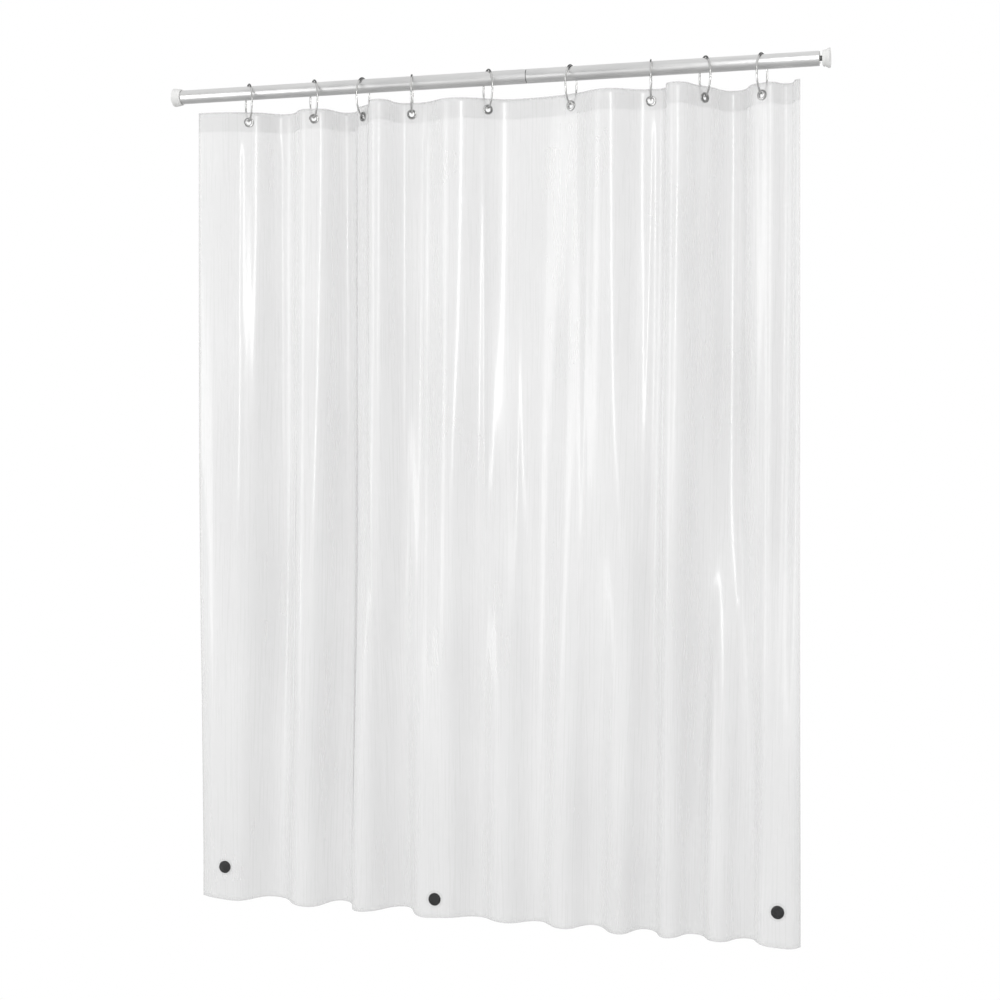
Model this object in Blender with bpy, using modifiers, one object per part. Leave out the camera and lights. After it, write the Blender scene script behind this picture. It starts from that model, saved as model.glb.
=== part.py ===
"""Clear shower curtain hung by nine wire rings on a rod clamped between two walls.

Metres, +Z up. The origin is the centre of the left foot's wall face, and the rod's axis is +X.
The bather's side of the curtain is +Y, and the room's side is -Y.
"""
import math

import bmesh
import bpy
from mathutils import Matrix, Vector

# Rod
WALL_TO_WALL = 1.524
ROD_OD = 0.032
TUBE_WALL = 0.0008
ROD_SEAM_X = 0.862
SLEEVE_LENGTH = 0.16
SLEEVE_WALL = 0.0012
FOOT_OD = 0.042
FOOT_DEPTH = 0.016
FOOT_LIP = 0.004
FOOT_LIP_WALL = 0.0025
FOOT_PAD = 0.004                                          # the foot is full width this far from its wall
PLUG_LENGTH = 0.045
PLUG_STRAIGHT = 0.7                                       # share of the plug's length before its taper
PLUG_SPIGOT_OD = 0.022
SPINDLE_OD = 0.012
SPINDLE_LENGTH = 0.075
SPINDLE_SOCKET = 0.008
FOOT_STANDOFF = 0.006

# Sheet: its flat size, and how it hangs
SHEET_WIDTH = 1.829
SHEET_HEIGHT = 1.829
SHEET_THICKNESS = 0.001
EYELET_MARGIN = 0.12
EYELET_DROP = 0.026
BAND_HEIGHT = 0.045
HEADER_BELOW = 0.006
HEM_PLUMB = 0.1                                           # the sheet is straight this far above its foot
STRIP_GAP = 0.001                                         # between the strips that two rings carry
BAND_THICKNESS = 0.0008
LEFT_EDGE_X = 0.073
LEFT_MARGIN_HUNG = 0.1176
RIGHT_MARGIN_HUNG = 0.0822
RING_GAPS = (0.1629, 0.1203, 0.1182, 0.1794, 0.1905, 0.1786, 0.1178, 0.1221)
SHEET_TILTS = (20, 14, -36, 8, 34, -20, 8, 50, -22)      # degrees, at each ring
RING_TWISTS = (38, 38, -8, 16, 36, -10, 10, 32, -14)      # degrees, at each ring
FOLD_SIDES = (1, 1, -1, -1, 1, -1, -1, 1)                 # 1 folds towards the bather, -1 the room
LEFT_MARGIN_SIDE = -1
RIGHT_MARGIN_SIDE = 1
EYELET_FLAT = 0.013                                       # the sheet is flat this far round an eyelet

# Rings and eyelets
RING_HEIGHT = 0.090
RING_WIDTH = 0.0644
WIRE_D = 0.0044
RING_GATE = 0.0006
RING_GATE_AT = -35                                        # degrees up from the ring's side at the back
RING_POINTS = 36
EYELET_BORE = 0.012
EYELET_WALL = 0.0007
EYELET_OD = 0.022
EYELET_FLANGE = 0.001
EYELET_FLARE = 0.0013
EYELET_CHAMFER = 0.0004
WASHER_THICKNESS = 0.001

# Magnets: each one's name, place along the flat sheet and rise above its foot
MAGNET_D = 0.028
MAGNET_THICKNESS = 0.003
MAGNET_EDGE = 0.0005
MAGNETS = (("left", 0.073, 0.076), ("middle", 0.777, 0.042), ("right", 1.777, 0.075))
MAGNET_FLAT = 0.022                                       # the sheet is flat this far round a magnet
HEM_FOLDS = (3, 6)                                        # folds from one magnet to the next
HEM_EVENNESS = 0.5                                        # 0 follows the ring gaps, 1 evens them out
POCKET_D = 0.040
POCKET_FILM = 0.0006

# Fineness
GAP = 0.0003
SPAN_STEPS = 60
STRIP_SEGMENTS = 9
TWIST_ROWS = 3
HEM_STEPS = 900
ROUND_STEPS = 32
SMALL_STEPS = 16
CUTTER_DEPTH = 0.03
TANGENT_REACH = 0.0008
TWIST_KEPT = 0.1                                          # degrees that a face may twist
ROUNDS = 40                                               # of Newton's method or of halving
EXACT = 1e-7

RING_COUNT = len(SHEET_TILTS)
EYELET_PITCH = (SHEET_WIDTH - 2 * EYELET_MARGIN) / (RING_COUNT - 1)


def clear_scene():
    """Remove everything that the new file starts with."""
    for thing in list(bpy.data.objects):
        bpy.data.objects.remove(thing, do_unlink=True)


def collection(name):
    """Make a collection in the scene."""
    made = bpy.data.collections.new(name)
    bpy.context.scene.collection.children.link(made)
    return made


def material(name, colour, roughness, metallic=0.0, alpha=1.0):
    """Make a Principled material."""
    made = bpy.data.materials.new(name)
    made.use_nodes = True
    shader = made.node_tree.nodes["Principled BSDF"]
    shader.inputs["Base Color"].default_value = (*colour, 1.0)
    shader.inputs["Roughness"].default_value = roughness
    shader.inputs["Metallic"].default_value = metallic
    shader.inputs["Alpha"].default_value = alpha
    made.diffuse_color = (*colour, alpha)
    return made


def place(thing, home, matrix, parent=None, finish=None):
    """Link an object into its collection, at its place in the world."""
    home.objects.link(thing)
    if parent is not None:
        thing.parent = parent
    thing.matrix_local = matrix
    if finish is not None:
        thing.data.materials.append(finish)
    return thing


def turned(name, profile, steps):
    """Turn a closed outline of (radius, height) points about its own Z axis.

    Points on the axis make a solid, and an outline clear of it makes a hoop.
    """
    mesh = bpy.data.meshes.new(name)
    closed = min(radius for radius, _ in profile) > EXACT
    count = len(profile)
    edges = [(i, (i + 1) % count) for i in range(count if closed else count - 1)]
    mesh.from_pydata([(radius, 0, height) for radius, height in profile], edges, [])
    thing = bpy.data.objects.new(name, mesh)
    screw = thing.modifiers.new("turn", "SCREW")
    screw.axis = "Z"
    screw.angle = math.tau
    screw.steps = steps
    screw.render_steps = steps
    screw.use_merge_vertices = True
    screw.merge_threshold = EXACT
    screw.use_smooth_shade = True
    return thing


def tube_profile(outer, inner, length):
    """Outline of a plain tube that stands on the plane of its lower end."""
    return [(outer, length), (outer, 0), (inner, 0), (inner, length)]


def along_x(x):
    """Placement that lays a turned piece's axis along the rod, from x onwards."""
    return Matrix.Translation((x, 0, 0)) @ Matrix.Rotation(math.pi / 2, 4, "Y")


# ---------------------------------------------------------------- the sheet's line in plan

def span_angles(start, end, lean, fold):
    """Direction of each short step of a span of sheet, in radians from the rod.

    It turns smoothly from the start's tilt to the end's, with a fold to one side on top.
    """
    angles = []
    for i in range(SPAN_STEPS):
        t = (i + 0.5) / SPAN_STEPS
        turn = start + (end - start) * t * t * (3 - 2 * t)
        angles.append(turn + lean * math.sin(math.pi * t) + fold * math.sin(math.tau * t))
    return angles


def span_run(angles, length):
    """How far a span carries the sheet along the rod and across it."""
    step = length / len(angles)
    return Vector((step * sum(map(math.cos, angles)), step * sum(map(math.sin, angles))))


def hang_span(start, end, length, goal, side):
    """Directions of a span of the given flat length that ends at the goal, by Newton's method.

    The side is 1 where it folds towards the bather and -1 where it folds towards the room.
    """
    nudge = 1e-5
    lean, fold = 0.0, side * 2 * math.sqrt(1 - goal.length / length)
    for _ in range(ROUNDS):
        miss = goal - span_run(span_angles(start, end, lean, fold), length)
        by_lean = (span_run(span_angles(start, end, lean + nudge, fold), length) - goal + miss) / nudge
        by_fold = (span_run(span_angles(start, end, lean, fold + nudge), length) - goal + miss) / nudge
        slope = Matrix(((by_lean.x, by_fold.x), (by_lean.y, by_fold.y)))
        change = slope.inverted() @ miss
        lean += change.x
        fold += change.y
    return span_angles(start, end, lean, fold)


def hang_margin(start, end, length, across, side):
    """Directions of a free margin whose run along the rod is known, found by halving its fold."""
    low, high = 0.0, 2.0
    for _ in range(ROUNDS):
        fold = side * (low + high) / 2
        angles = span_angles(start, end, 0.0, fold)
        if span_run(angles, length).x > across:
            low = abs(fold)
        else:
            high = abs(fold)
    return angles


def direction(angle):
    """Unit vector along the sheet, at an angle from the rod."""
    return Vector((math.cos(angle), math.sin(angle)))


def ring_places():
    """Each ring's place along the rod."""
    places = [LEFT_EDGE_X + LEFT_MARGIN_HUNG]
    for gap in RING_GAPS:
        places.append(places[-1] + gap)
    return places


def head_line():
    """The sheet's top edge in plan, from its left to its right, with each point's flat place."""
    tilts = [math.radians(tilt) for tilt in SHEET_TILTS]
    held = [direction(tilt) * EYELET_FLAT for tilt in tilts]
    margin = EYELET_MARGIN - EYELET_FLAT
    span = EYELET_PITCH - 2 * EYELET_FLAT
    left_run = LEFT_MARGIN_HUNG - held[0].x
    right_run = RIGHT_MARGIN_HUNG - held[-1].x
    pieces = [(hang_margin(0.0, tilts[0], margin, left_run, LEFT_MARGIN_SIDE), margin)]
    for i, gap in enumerate(RING_GAPS):
        pieces.append(([tilts[i]], 2 * EYELET_FLAT))
        goal = Vector((gap, 0)) - held[i] - held[i + 1]
        pieces.append((hang_span(tilts[i], tilts[i + 1], span, goal, FOLD_SIDES[i]), span))
    pieces.append(([tilts[-1]], 2 * EYELET_FLAT))
    pieces.append((hang_margin(tilts[-1], 0.0, margin, right_run, RIGHT_MARGIN_SIDE), margin))

    first = span_run(pieces[0][0], margin) + held[0]
    line, flat = [Vector((ring_places()[0], 0)) - first], [0.0]
    for angles, length in pieces:
        for angle in angles:
            step = length / len(angles)
            line.append(line[-1] + direction(angle) * step)
            flat.append(flat[-1] + step)
    return line, flat


def slackness(place_on_sheet):
    """Hung width over flat width at a place on the sheet, blended from gap to gap."""
    gaps = (LEFT_MARGIN_HUNG, *RING_GAPS, RIGHT_MARGIN_HUNG)
    widths = (EYELET_MARGIN, *([EYELET_PITCH] * len(RING_GAPS)), EYELET_MARGIN)
    ratios = [gap / width for gap, width in zip(gaps, widths)]
    middles = [EYELET_MARGIN / 2]
    middles += [EYELET_MARGIN + EYELET_PITCH * (i + 0.5) for i in range(len(RING_GAPS))]
    middles.append(SHEET_WIDTH - EYELET_MARGIN / 2)
    local = ratios[-1]
    if place_on_sheet <= middles[0]:
        local = ratios[0]
    for i in range(len(middles) - 1):
        if middles[i] < place_on_sheet <= middles[i + 1]:
            share = (place_on_sheet - middles[i]) / (middles[i + 1] - middles[i])
            local = ratios[i] + (ratios[i + 1] - ratios[i]) * share
    average = sum(gaps) / SHEET_WIDTH
    return local + (average - local) * HEM_EVENNESS


def hem_phase(place_on_sheet):
    """How far the hem's folds have turned at a place: a magnet holds a crest towards the room."""
    crest = 1.5 * math.pi
    places = [place for _, place, _ in MAGNETS]
    rates = [
        math.tau * folds / (there - here - 2 * MAGNET_FLAT)
        for here, there, folds in zip(places, places[1:], HEM_FOLDS)
    ]
    if place_on_sheet < places[0] - MAGNET_FLAT:
        return crest - (places[0] - MAGNET_FLAT - place_on_sheet) * rates[0]
    phase = crest
    for here, there, rate, folds in zip(places, places[1:], rates, HEM_FOLDS):
        if place_on_sheet <= here + MAGNET_FLAT:
            return phase
        if place_on_sheet < there - MAGNET_FLAT:
            return phase + (place_on_sheet - here - MAGNET_FLAT) * rate
        phase += math.tau * folds
    return phase + max(place_on_sheet - places[-1] - MAGNET_FLAT, 0.0) * rates[-1]


def folded_hem(swell):
    """The hem's line from the left edge, with its folds' steepness scaled by a swell."""
    step = SHEET_WIDTH / HEM_STEPS
    line, flat = [Vector((LEFT_EDGE_X, 0.0))], [0.0]
    for i in range(HEM_STEPS):
        middle = step * (i + 0.5)
        steepest = swell * math.sqrt(8 * (1 - math.sqrt(slackness(middle))))
        line.append(line[-1] + direction(steepest * math.cos(hem_phase(middle))) * step)
        flat.append(flat[-1] + step)
    return line, flat


def hem_line():
    """The sheet's lower edge in plan, in even shallow folds, with each point's flat place.

    It hangs as wide as the top, so the swell of its folds is found by halving.
    """
    across = LEFT_EDGE_X + LEFT_MARGIN_HUNG + sum(RING_GAPS) + RIGHT_MARGIN_HUNG
    low, high = 0.5, 1.8
    for _ in range(ROUNDS):
        swell = (low + high) / 2
        line, flat = folded_hem(swell)
        if line[-1].x > across:
            low = swell
        else:
            high = swell
    centre = sum(p.y for p in line) / len(line)
    return [p - Vector((0, centre)) for p in line], flat


def at_flat(line, flat, place_on_sheet):
    """Point and tangent of a line of the sheet at a place measured along the flat sheet."""
    for i in range(len(line) - 1):
        span = flat[i + 1] - flat[i]
        if span > EXACT and flat[i + 1] >= place_on_sheet:
            share = (place_on_sheet - flat[i]) / span
            tangent = (line[i + 1] - line[i]).normalized()
            return line[i].lerp(line[i + 1], share), tangent
    return line[-1], (line[-1] - line[-2]).normalized()


def strip_points(lines, stop, depth):
    """Points of the sheet's head line and hem line at a flat place, set back by a depth."""
    points = []
    for line, flat in lines:
        point, _ = at_flat(line, flat, stop)
        _, before = at_flat(line, flat, max(stop - TANGENT_REACH, GAP))
        _, after = at_flat(line, flat, min(stop + TANGENT_REACH, flat[-1] - GAP))
        along = (before + after).normalized()
        points.append(point + Vector((-along.y, along.x)) * depth)
    return points


def strip_stops(start, end, middle):
    """Flat places of one strip's columns, with none inside the flat round its eyelet."""
    half = EYELET_FLAT - GAP
    count = STRIP_SEGMENTS
    stops = [start + (middle - half - start) * i / count for i in range(count + 1)]
    return stops + [middle + half + (end - middle - half) * i / count for i in range(count + 1)]


def film_strip(name, columns, heights, thickness):
    """Strip of film over a grid of points: each column has a plan point for each height.

    Where the strip twists, its faces are split before it gets its thickness, so that both of its
    sides bend along the same lines.
    """
    mesh = bpy.data.meshes.new(name)
    work = bmesh.new()
    feet = [work.verts.new((*column[0], heights[0])) for column in columns]
    edges = [work.edges.new(pair) for pair in zip(feet, feet[1:])]
    for row in range(1, len(heights)):
        grown = bmesh.ops.extrude_edge_only(work, edges=edges)["geom"]
        edges = [e for e in grown if isinstance(e, bmesh.types.BMEdge)]
        tops = [v for v in grown if isinstance(v, bmesh.types.BMVert)]
        for vertex, column in zip(tops, columns):
            vertex.co = (*column[row], heights[row])
    bmesh.ops.recalc_face_normals(work, faces=work.faces)
    bmesh.ops.connect_verts_nonplanar(work, angle_limit=math.radians(TWIST_KEPT), faces=work.faces)
    work.to_mesh(mesh)
    work.free()
    thing = bpy.data.objects.new(name, mesh)
    solid = thing.modifiers.new("thickness", "SOLIDIFY")
    solid.thickness = thickness
    solid.offset = 0
    return thing


def hole_cutter(name, radius, matrix, home):
    """Cylinder that cuts an eyelet's hole, along the eyelet's axis."""
    mesh = bpy.data.meshes.new(name)
    work = bmesh.new()
    bmesh.ops.create_cone(
        work, cap_ends=True, segments=SMALL_STEPS, radius1=radius, radius2=radius, depth=CUTTER_DEPTH
    )
    work.to_mesh(mesh)
    work.free()
    cutter = bpy.data.objects.new(name, mesh)
    cutter.hide_render = True
    cutter.display_type = "WIRE"
    return place(cutter, home, matrix)


def cut(thing, cutter):
    """Cut one object out of another."""
    boolean = thing.modifiers.new("hole", "BOOLEAN")
    boolean.operation = "DIFFERENCE"
    boolean.solver = "EXACT"
    boolean.object = cutter


# ---------------------------------------------------------------- rings and eyelets

def ring_seat(twist):
    """Height of a ring's top above the rod's axis, to its wire's centre.

    A ring that twists about the vertical narrows as the rod sees it, so the rod may stop on
    the ring's two sides before it reaches the top.
    """
    reach = ROD_OD / 2 + WIRE_D / 2 + GAP
    across = (RING_WIDTH - WIRE_D) / 2 * math.cos(math.radians(twist))
    tall = (RING_HEIGHT - WIRE_D) / 2
    if reach <= across * across / tall:
        return reach
    return tall - math.sqrt((tall ** 2 - across ** 2) * (1 - (reach / across) ** 2))


def ring_bottom(twist):
    """Height of a ring's lowest wire centre below the rod's axis."""
    return ring_seat(twist) - (RING_HEIGHT - WIRE_D)


def eyelet_height(index):
    """Height of an eyelet's axis, so that its bore hangs on the ring's wire."""
    lean = math.radians(RING_TWISTS[index] - SHEET_TILTS[index])
    reach = eyelet_back()
    across = (RING_WIDTH - WIRE_D) / 2
    bend = across ** 2 / ((RING_HEIGHT - WIRE_D) / 2)
    flat_of_bore = EYELET_BORE / 2 * math.cos(math.pi / SMALL_STEPS)
    room = flat_of_bore - GAP - WIRE_D / 2 / math.cos(lean)
    rise = (reach / math.cos(lean)) ** 2 / (2 * bend)
    return ring_bottom(RING_TWISTS[index]) - math.sqrt(room ** 2 - (reach * math.tan(lean)) ** 2) + rise


def stack_back():
    """How far behind the sheet's middle the washer's back face lies."""
    return SHEET_THICKNESS / 2 + GAP + BAND_THICKNESS + GAP + WASHER_THICKNESS


def eyelet_front():
    """How far before the sheet's middle the eyelet's flange ends."""
    return SHEET_THICKNESS / 2 + GAP + EYELET_FLANGE


def eyelet_back():
    """How far behind the sheet's middle the eyelet's rolled end reaches."""
    return stack_back() + GAP + EYELET_WALL


def eyelet_profile():
    """Outline of an eyelet: flange on the room's side, barrel, and the rolled end at the back."""
    bore = EYELET_BORE / 2
    barrel = bore + EYELET_WALL
    roll = barrel + EYELET_FLARE
    front, seat = -eyelet_front(), -SHEET_THICKNESS / 2 - GAP
    lip, end = stack_back() + GAP, eyelet_back()
    rim = EYELET_OD / 2
    return [
        (roll, end), (roll, lip), (barrel, lip), (barrel, seat), (rim, seat),
        (rim, front + EYELET_CHAMFER), (rim - EYELET_CHAMFER, front), (bore, front), (bore, end),
    ]


def washer_profile():
    """Outline of an eyelet's washer, behind the header band."""
    inner = EYELET_BORE / 2 + EYELET_WALL + GAP
    back = stack_back()
    front = back - WASHER_THICKNESS
    return [(EYELET_OD / 2, back), (EYELET_OD / 2, front), (inner, front), (inner, back)]


def ring_wire(name, twist):
    """Oval hoop of wire in its own YZ plane, with a gate low on its back where it springs open."""
    across, tall = (RING_WIDTH - WIRE_D) / 2, (RING_HEIGHT - WIRE_D) / 2
    middle = ring_seat(twist) - tall
    gate_at = math.radians(RING_GATE_AT)
    slit = RING_GATE / across / 2
    curve = bpy.data.curves.new(name, "CURVE")
    curve.dimensions = "3D"
    curve.bevel_depth = WIRE_D / 2
    curve.bevel_resolution = 2
    curve.use_fill_caps = True
    spline = curve.splines.new("POLY")
    spline.points.add(RING_POINTS - 1)
    for i, point in enumerate(spline.points):
        angle = gate_at + slit + (math.tau - 2 * slit) * i / (RING_POINTS - 1)
        point.co = (0, across * math.cos(angle), middle + tall * math.sin(angle), 1)
    return bpy.data.objects.new(name, curve)


# ---------------------------------------------------------------- sub-assemblies

def build_rod(home, metal, plastic, rubber, steel):
    """Rod in two tubes on an inner sleeve, with a fixed left foot and a jack foot at the right."""
    radius = ROD_OD / 2
    bore = radius - TUBE_WALL
    left_start = FOOT_DEPTH - FOOT_LIP
    right_end = WALL_TO_WALL - FOOT_DEPTH - FOOT_STANDOFF
    left_length = ROD_SEAM_X - GAP / 2 - left_start
    right_start = ROD_SEAM_X + GAP / 2
    left = turned("rod_tube_left", tube_profile(radius, bore, left_length), ROUND_STEPS)
    place(left, home, along_x(left_start), finish=metal)
    right = turned("rod_tube_right", tube_profile(radius, bore, right_end - right_start), ROUND_STEPS)
    place(right, home, along_x(right_start), finish=metal)

    sleeve_outer = bore - GAP
    profile = tube_profile(sleeve_outer, sleeve_outer - SLEEVE_WALL, SLEEVE_LENGTH)
    sleeve = turned("rod_joint_sleeve", profile, ROUND_STEPS)
    place(sleeve, home, along_x(ROD_SEAM_X - SLEEVE_LENGTH / 2), finish=steel)

    socket = radius + GAP
    rim = FOOT_OD / 2
    web = left_start - GAP
    lip = FOOT_DEPTH + FOOT_LIP
    foot_profile = [
        (0, web), (socket, web), (socket, lip), (socket + FOOT_LIP_WALL, lip),
        (rim, FOOT_PAD), (rim, 0), (0, 0),
    ]
    left_foot = turned("rod_foot_left", foot_profile, ROUND_STEPS)
    place(left_foot, home, along_x(0), finish=rubber)

    plug_outer = bore - GAP
    spigot = PLUG_SPIGOT_OD / 2
    straight = PLUG_LENGTH * PLUG_STRAIGHT
    plug_profile = [
        (0, PLUG_LENGTH), (spigot, PLUG_LENGTH), (plug_outer, straight), (plug_outer, 0), (0, 0),
    ]
    left_plug = turned("rod_plug_left", plug_profile, ROUND_STEPS)
    place(left_plug, home, along_x(left_start), finish=plastic)

    spindle_bore = SPINDLE_OD / 2 + GAP
    guide = turned("rod_plug_right", tube_profile(plug_outer, spindle_bore, PLUG_LENGTH), ROUND_STEPS)
    place(guide, home, along_x(right_end - PLUG_LENGTH), finish=plastic)

    jack = bpy.data.objects.new("jack_axis", None)
    place(jack, home, Matrix.Translation((WALL_TO_WALL - FOOT_DEPTH, 0, 0)))
    spindle_r = SPINDLE_OD / 2
    start = SPINDLE_SOCKET - GAP - SPINDLE_LENGTH
    spindle_profile = [(0, SPINDLE_LENGTH), (spindle_r, SPINDLE_LENGTH), (spindle_r, 0), (0, 0)]
    spindle = turned("rod_jack_spindle", spindle_profile, SMALL_STEPS)
    place(spindle, home, along_x(start), parent=jack, finish=steel)
    hole = spindle_r + GAP
    jack_profile = [
        (0, FOOT_DEPTH), (rim, FOOT_DEPTH), (rim, FOOT_DEPTH - FOOT_PAD), (radius, 0),
        (hole, 0), (hole, SPINDLE_SOCKET), (0, SPINDLE_SOCKET),
    ]
    right_foot = turned("rod_foot_right", jack_profile, ROUND_STEPS)
    place(right_foot, home, along_x(0), parent=jack, finish=rubber)


def build_hanger(index, x, home, metal):
    """One ring and its eyelet and washer, under an empty on the rod's axis."""
    number = index + 1
    axis = bpy.data.objects.new(f"ring_axis_{number}", None)
    place(axis, home, Matrix.Translation((x, 0, 0)))
    twist = Matrix.Rotation(math.radians(RING_TWISTS[index]), 4, "Z")
    ring = ring_wire(f"ring_{number}", RING_TWISTS[index])
    place(ring, home, twist, parent=axis, finish=metal)
    seat = eyelet_matrix(index)
    for name, profile in (("eyelet", eyelet_profile()), ("eyelet_washer", washer_profile())):
        piece = turned(f"{name}_{number}", profile, SMALL_STEPS)
        place(piece, home, seat, parent=axis, finish=metal)


def eyelet_matrix(index):
    """Place of an eyelet under its ring's empty: its axis points back through the sheet."""
    turn = Matrix.Rotation(math.radians(SHEET_TILTS[index]), 4, "Z")
    lay = Matrix.Rotation(-math.pi / 2, 4, "X")
    return Matrix.Translation((0, 0, eyelet_height(index))) @ turn @ lay


def sheet_heights():
    """Heights of the sheet's top edge, of its two straight parts' inner ends, and of its foot."""
    top = min(eyelet_height(i) for i in range(RING_COUNT)) + EYELET_DROP
    foot = top - SHEET_HEIGHT
    return top, top - BAND_HEIGHT - HEADER_BELOW, foot + HEM_PLUMB, foot


def build_sheet(lines, places, home, cutters, film, band_film):
    """The sheet and its header band, one strip of each to a ring."""
    top, straight, plumb, foot = sheet_heights()
    band_foot = top - BAND_HEIGHT
    hole = EYELET_BORE / 2 + EYELET_WALL + GAP
    back = SHEET_THICKNESS / 2 + GAP + BAND_THICKNESS / 2
    shares = [step / TWIST_ROWS for step in range(TWIST_ROWS + 1)]
    twist_heights = [plumb + (straight - plumb) * share for share in shares]
    for i, x in enumerate(places):
        number = i + 1
        middle = EYELET_MARGIN + i * EYELET_PITCH
        start = 0.0 if i == 0 else middle - EYELET_PITCH / 2 + STRIP_GAP / 2
        end = SHEET_WIDTH if i == RING_COUNT - 1 else middle + EYELET_PITCH / 2 - STRIP_GAP / 2
        where = Matrix.Translation((x, 0, 0)) @ eyelet_matrix(i)
        cutter = hole_cutter(f"hole_{number}", hole, where, cutters)
        stops = strip_stops(start, end, middle)
        heads = [strip_points(lines, stop, 0.0) for stop in stops]
        sheet = film_strip(
            f"sheet_{number}",
            [(hem, *(hem.lerp(head, share) for share in shares), head, head) for head, hem in heads],
            (foot, *twist_heights, band_foot, top), SHEET_THICKNESS,
        )
        place(sheet, home, Matrix.Identity(4), finish=film)
        cut(sheet, cutter)
        backs = [strip_points(lines, stop, back)[0] for stop in stops]
        band = film_strip(
            f"header_band_{number}", [(point, point) for point in backs],
            (band_foot, top), BAND_THICKNESS,
        )
        place(band, home, Matrix.Identity(4), finish=band_film)
        cut(band, cutter)


def sheet_point(lines, place_on_sheet, height):
    """Plan point of the sheet at a flat place and a height."""
    _, straight, plumb, _ = sheet_heights()
    share = min(max((straight - height) / (straight - plumb), 0.0), 1.0)
    head, hem = [at_flat(line, flat, place_on_sheet)[0] for line, flat in lines]
    return head.lerp(hem, share)


def magnet_seat(lines, place_on_sheet, height):
    """Plan point and direction of the flat disc that just clears the sheet on the room's side."""
    reach = POCKET_D / 2
    ends = [sheet_point(lines, place_on_sheet + side * reach / 2, height) for side in (-1, 1)]
    tangent = (ends[1] - ends[0]).normalized()
    room = Vector((tangent.y, -tangent.x))
    point = sheet_point(lines, place_on_sheet, height)
    proud = 0.0
    for along in range(-SMALL_STEPS, SMALL_STEPS + 1):
        for up in (-1, 0, 1):
            beside = place_on_sheet + 2 * reach * along / SMALL_STEPS
            other = sheet_point(lines, beside, height + up * reach)
            if abs((other - point).dot(tangent)) <= reach:
                proud = max(proud, (other - point).dot(room))
    return point, tangent, proud + SHEET_THICKNESS / 2 + GAP


def build_magnets(lines, home, black, film):
    """Three disc magnets on the room's side of the sheet, each in a shallow pocket of film."""
    foot = sheet_heights()[-1]
    radius = MAGNET_D / 2
    brim = POCKET_D / 2
    well = radius + GAP
    for name, place_on_sheet, rise in MAGNETS:
        point, tangent, near = magnet_seat(lines, place_on_sheet, foot + rise)
        turn = Matrix.Rotation(math.atan2(tangent.y, tangent.x), 4, "Z")
        lay = Matrix.Rotation(math.pi / 2, 4, "X")
        seat = Matrix.Translation((*point, foot + rise)) @ turn @ lay
        far = near + MAGNET_THICKNESS
        disc = [
            (0, far), (radius - MAGNET_EDGE, far), (radius, far - MAGNET_EDGE), (radius, near), (0, near),
        ]
        place(turned(f"magnet_{name}", disc, SMALL_STEPS), home, seat, finish=black)
        lid = far + GAP
        cup = [
            (0, lid + POCKET_FILM), (well + POCKET_FILM, lid + POCKET_FILM),
            (well + POCKET_FILM, near + POCKET_FILM), (brim, near + POCKET_FILM), (brim, near),
            (well, near), (well, lid), (0, lid),
        ]
        place(turned(f"magnet_pocket_{name}", cup, SMALL_STEPS), home, seat, finish=film)


def main():
    """Build the whole object."""
    clear_scene()
    home = collection("shower_curtain")
    cutters = collection("cutters")
    satin = material("rod_metal", (0.62, 0.62, 0.61), 0.32, 1.0)
    steel = material("inner_steel", (0.50, 0.50, 0.50), 0.45, 1.0)
    chrome = material("ring_metal", (0.70, 0.70, 0.70), 0.14, 1.0)
    plastic = material("plug_plastic", (0.75, 0.75, 0.74), 0.5)
    rubber = material("foot_rubber", (0.86, 0.86, 0.85), 0.7)
    film = material("sheet_film", (0.86, 0.88, 0.88), 0.25, 0.0, 0.45)
    band_film = material("band_film", (0.82, 0.84, 0.84), 0.28, 0.0, 0.55)
    pocket_film = material("pocket_film", (0.86, 0.88, 0.88), 0.2, 0.0, 0.35)
    black = material("magnet_black", (0.02, 0.02, 0.02), 0.4)

    places = ring_places()
    lines = (head_line(), hem_line())
    build_rod(home, satin, plastic, rubber, steel)
    for i, x in enumerate(places):
        build_hanger(i, x, home, chrome)
    build_sheet(lines, places, home, cutters, film, band_film)
    build_magnets(lines, home, black, pocket_film)
    bpy.context.view_layer.update()


main()
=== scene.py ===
"""Finished look of a clear film shower curtain that hangs by wire rings from a rod between two walls.

Metres, +Z up. The rod's axis is +X from the left wall, the room is at -Y and the bather at +Y.
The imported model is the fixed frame, and every piece here takes its place and size from it.
"""
import logging
import math
from dataclasses import dataclass, field
from enum import IntEnum

import bmesh
import bpy
import numpy as np
from mathutils import Matrix, Vector


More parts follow.
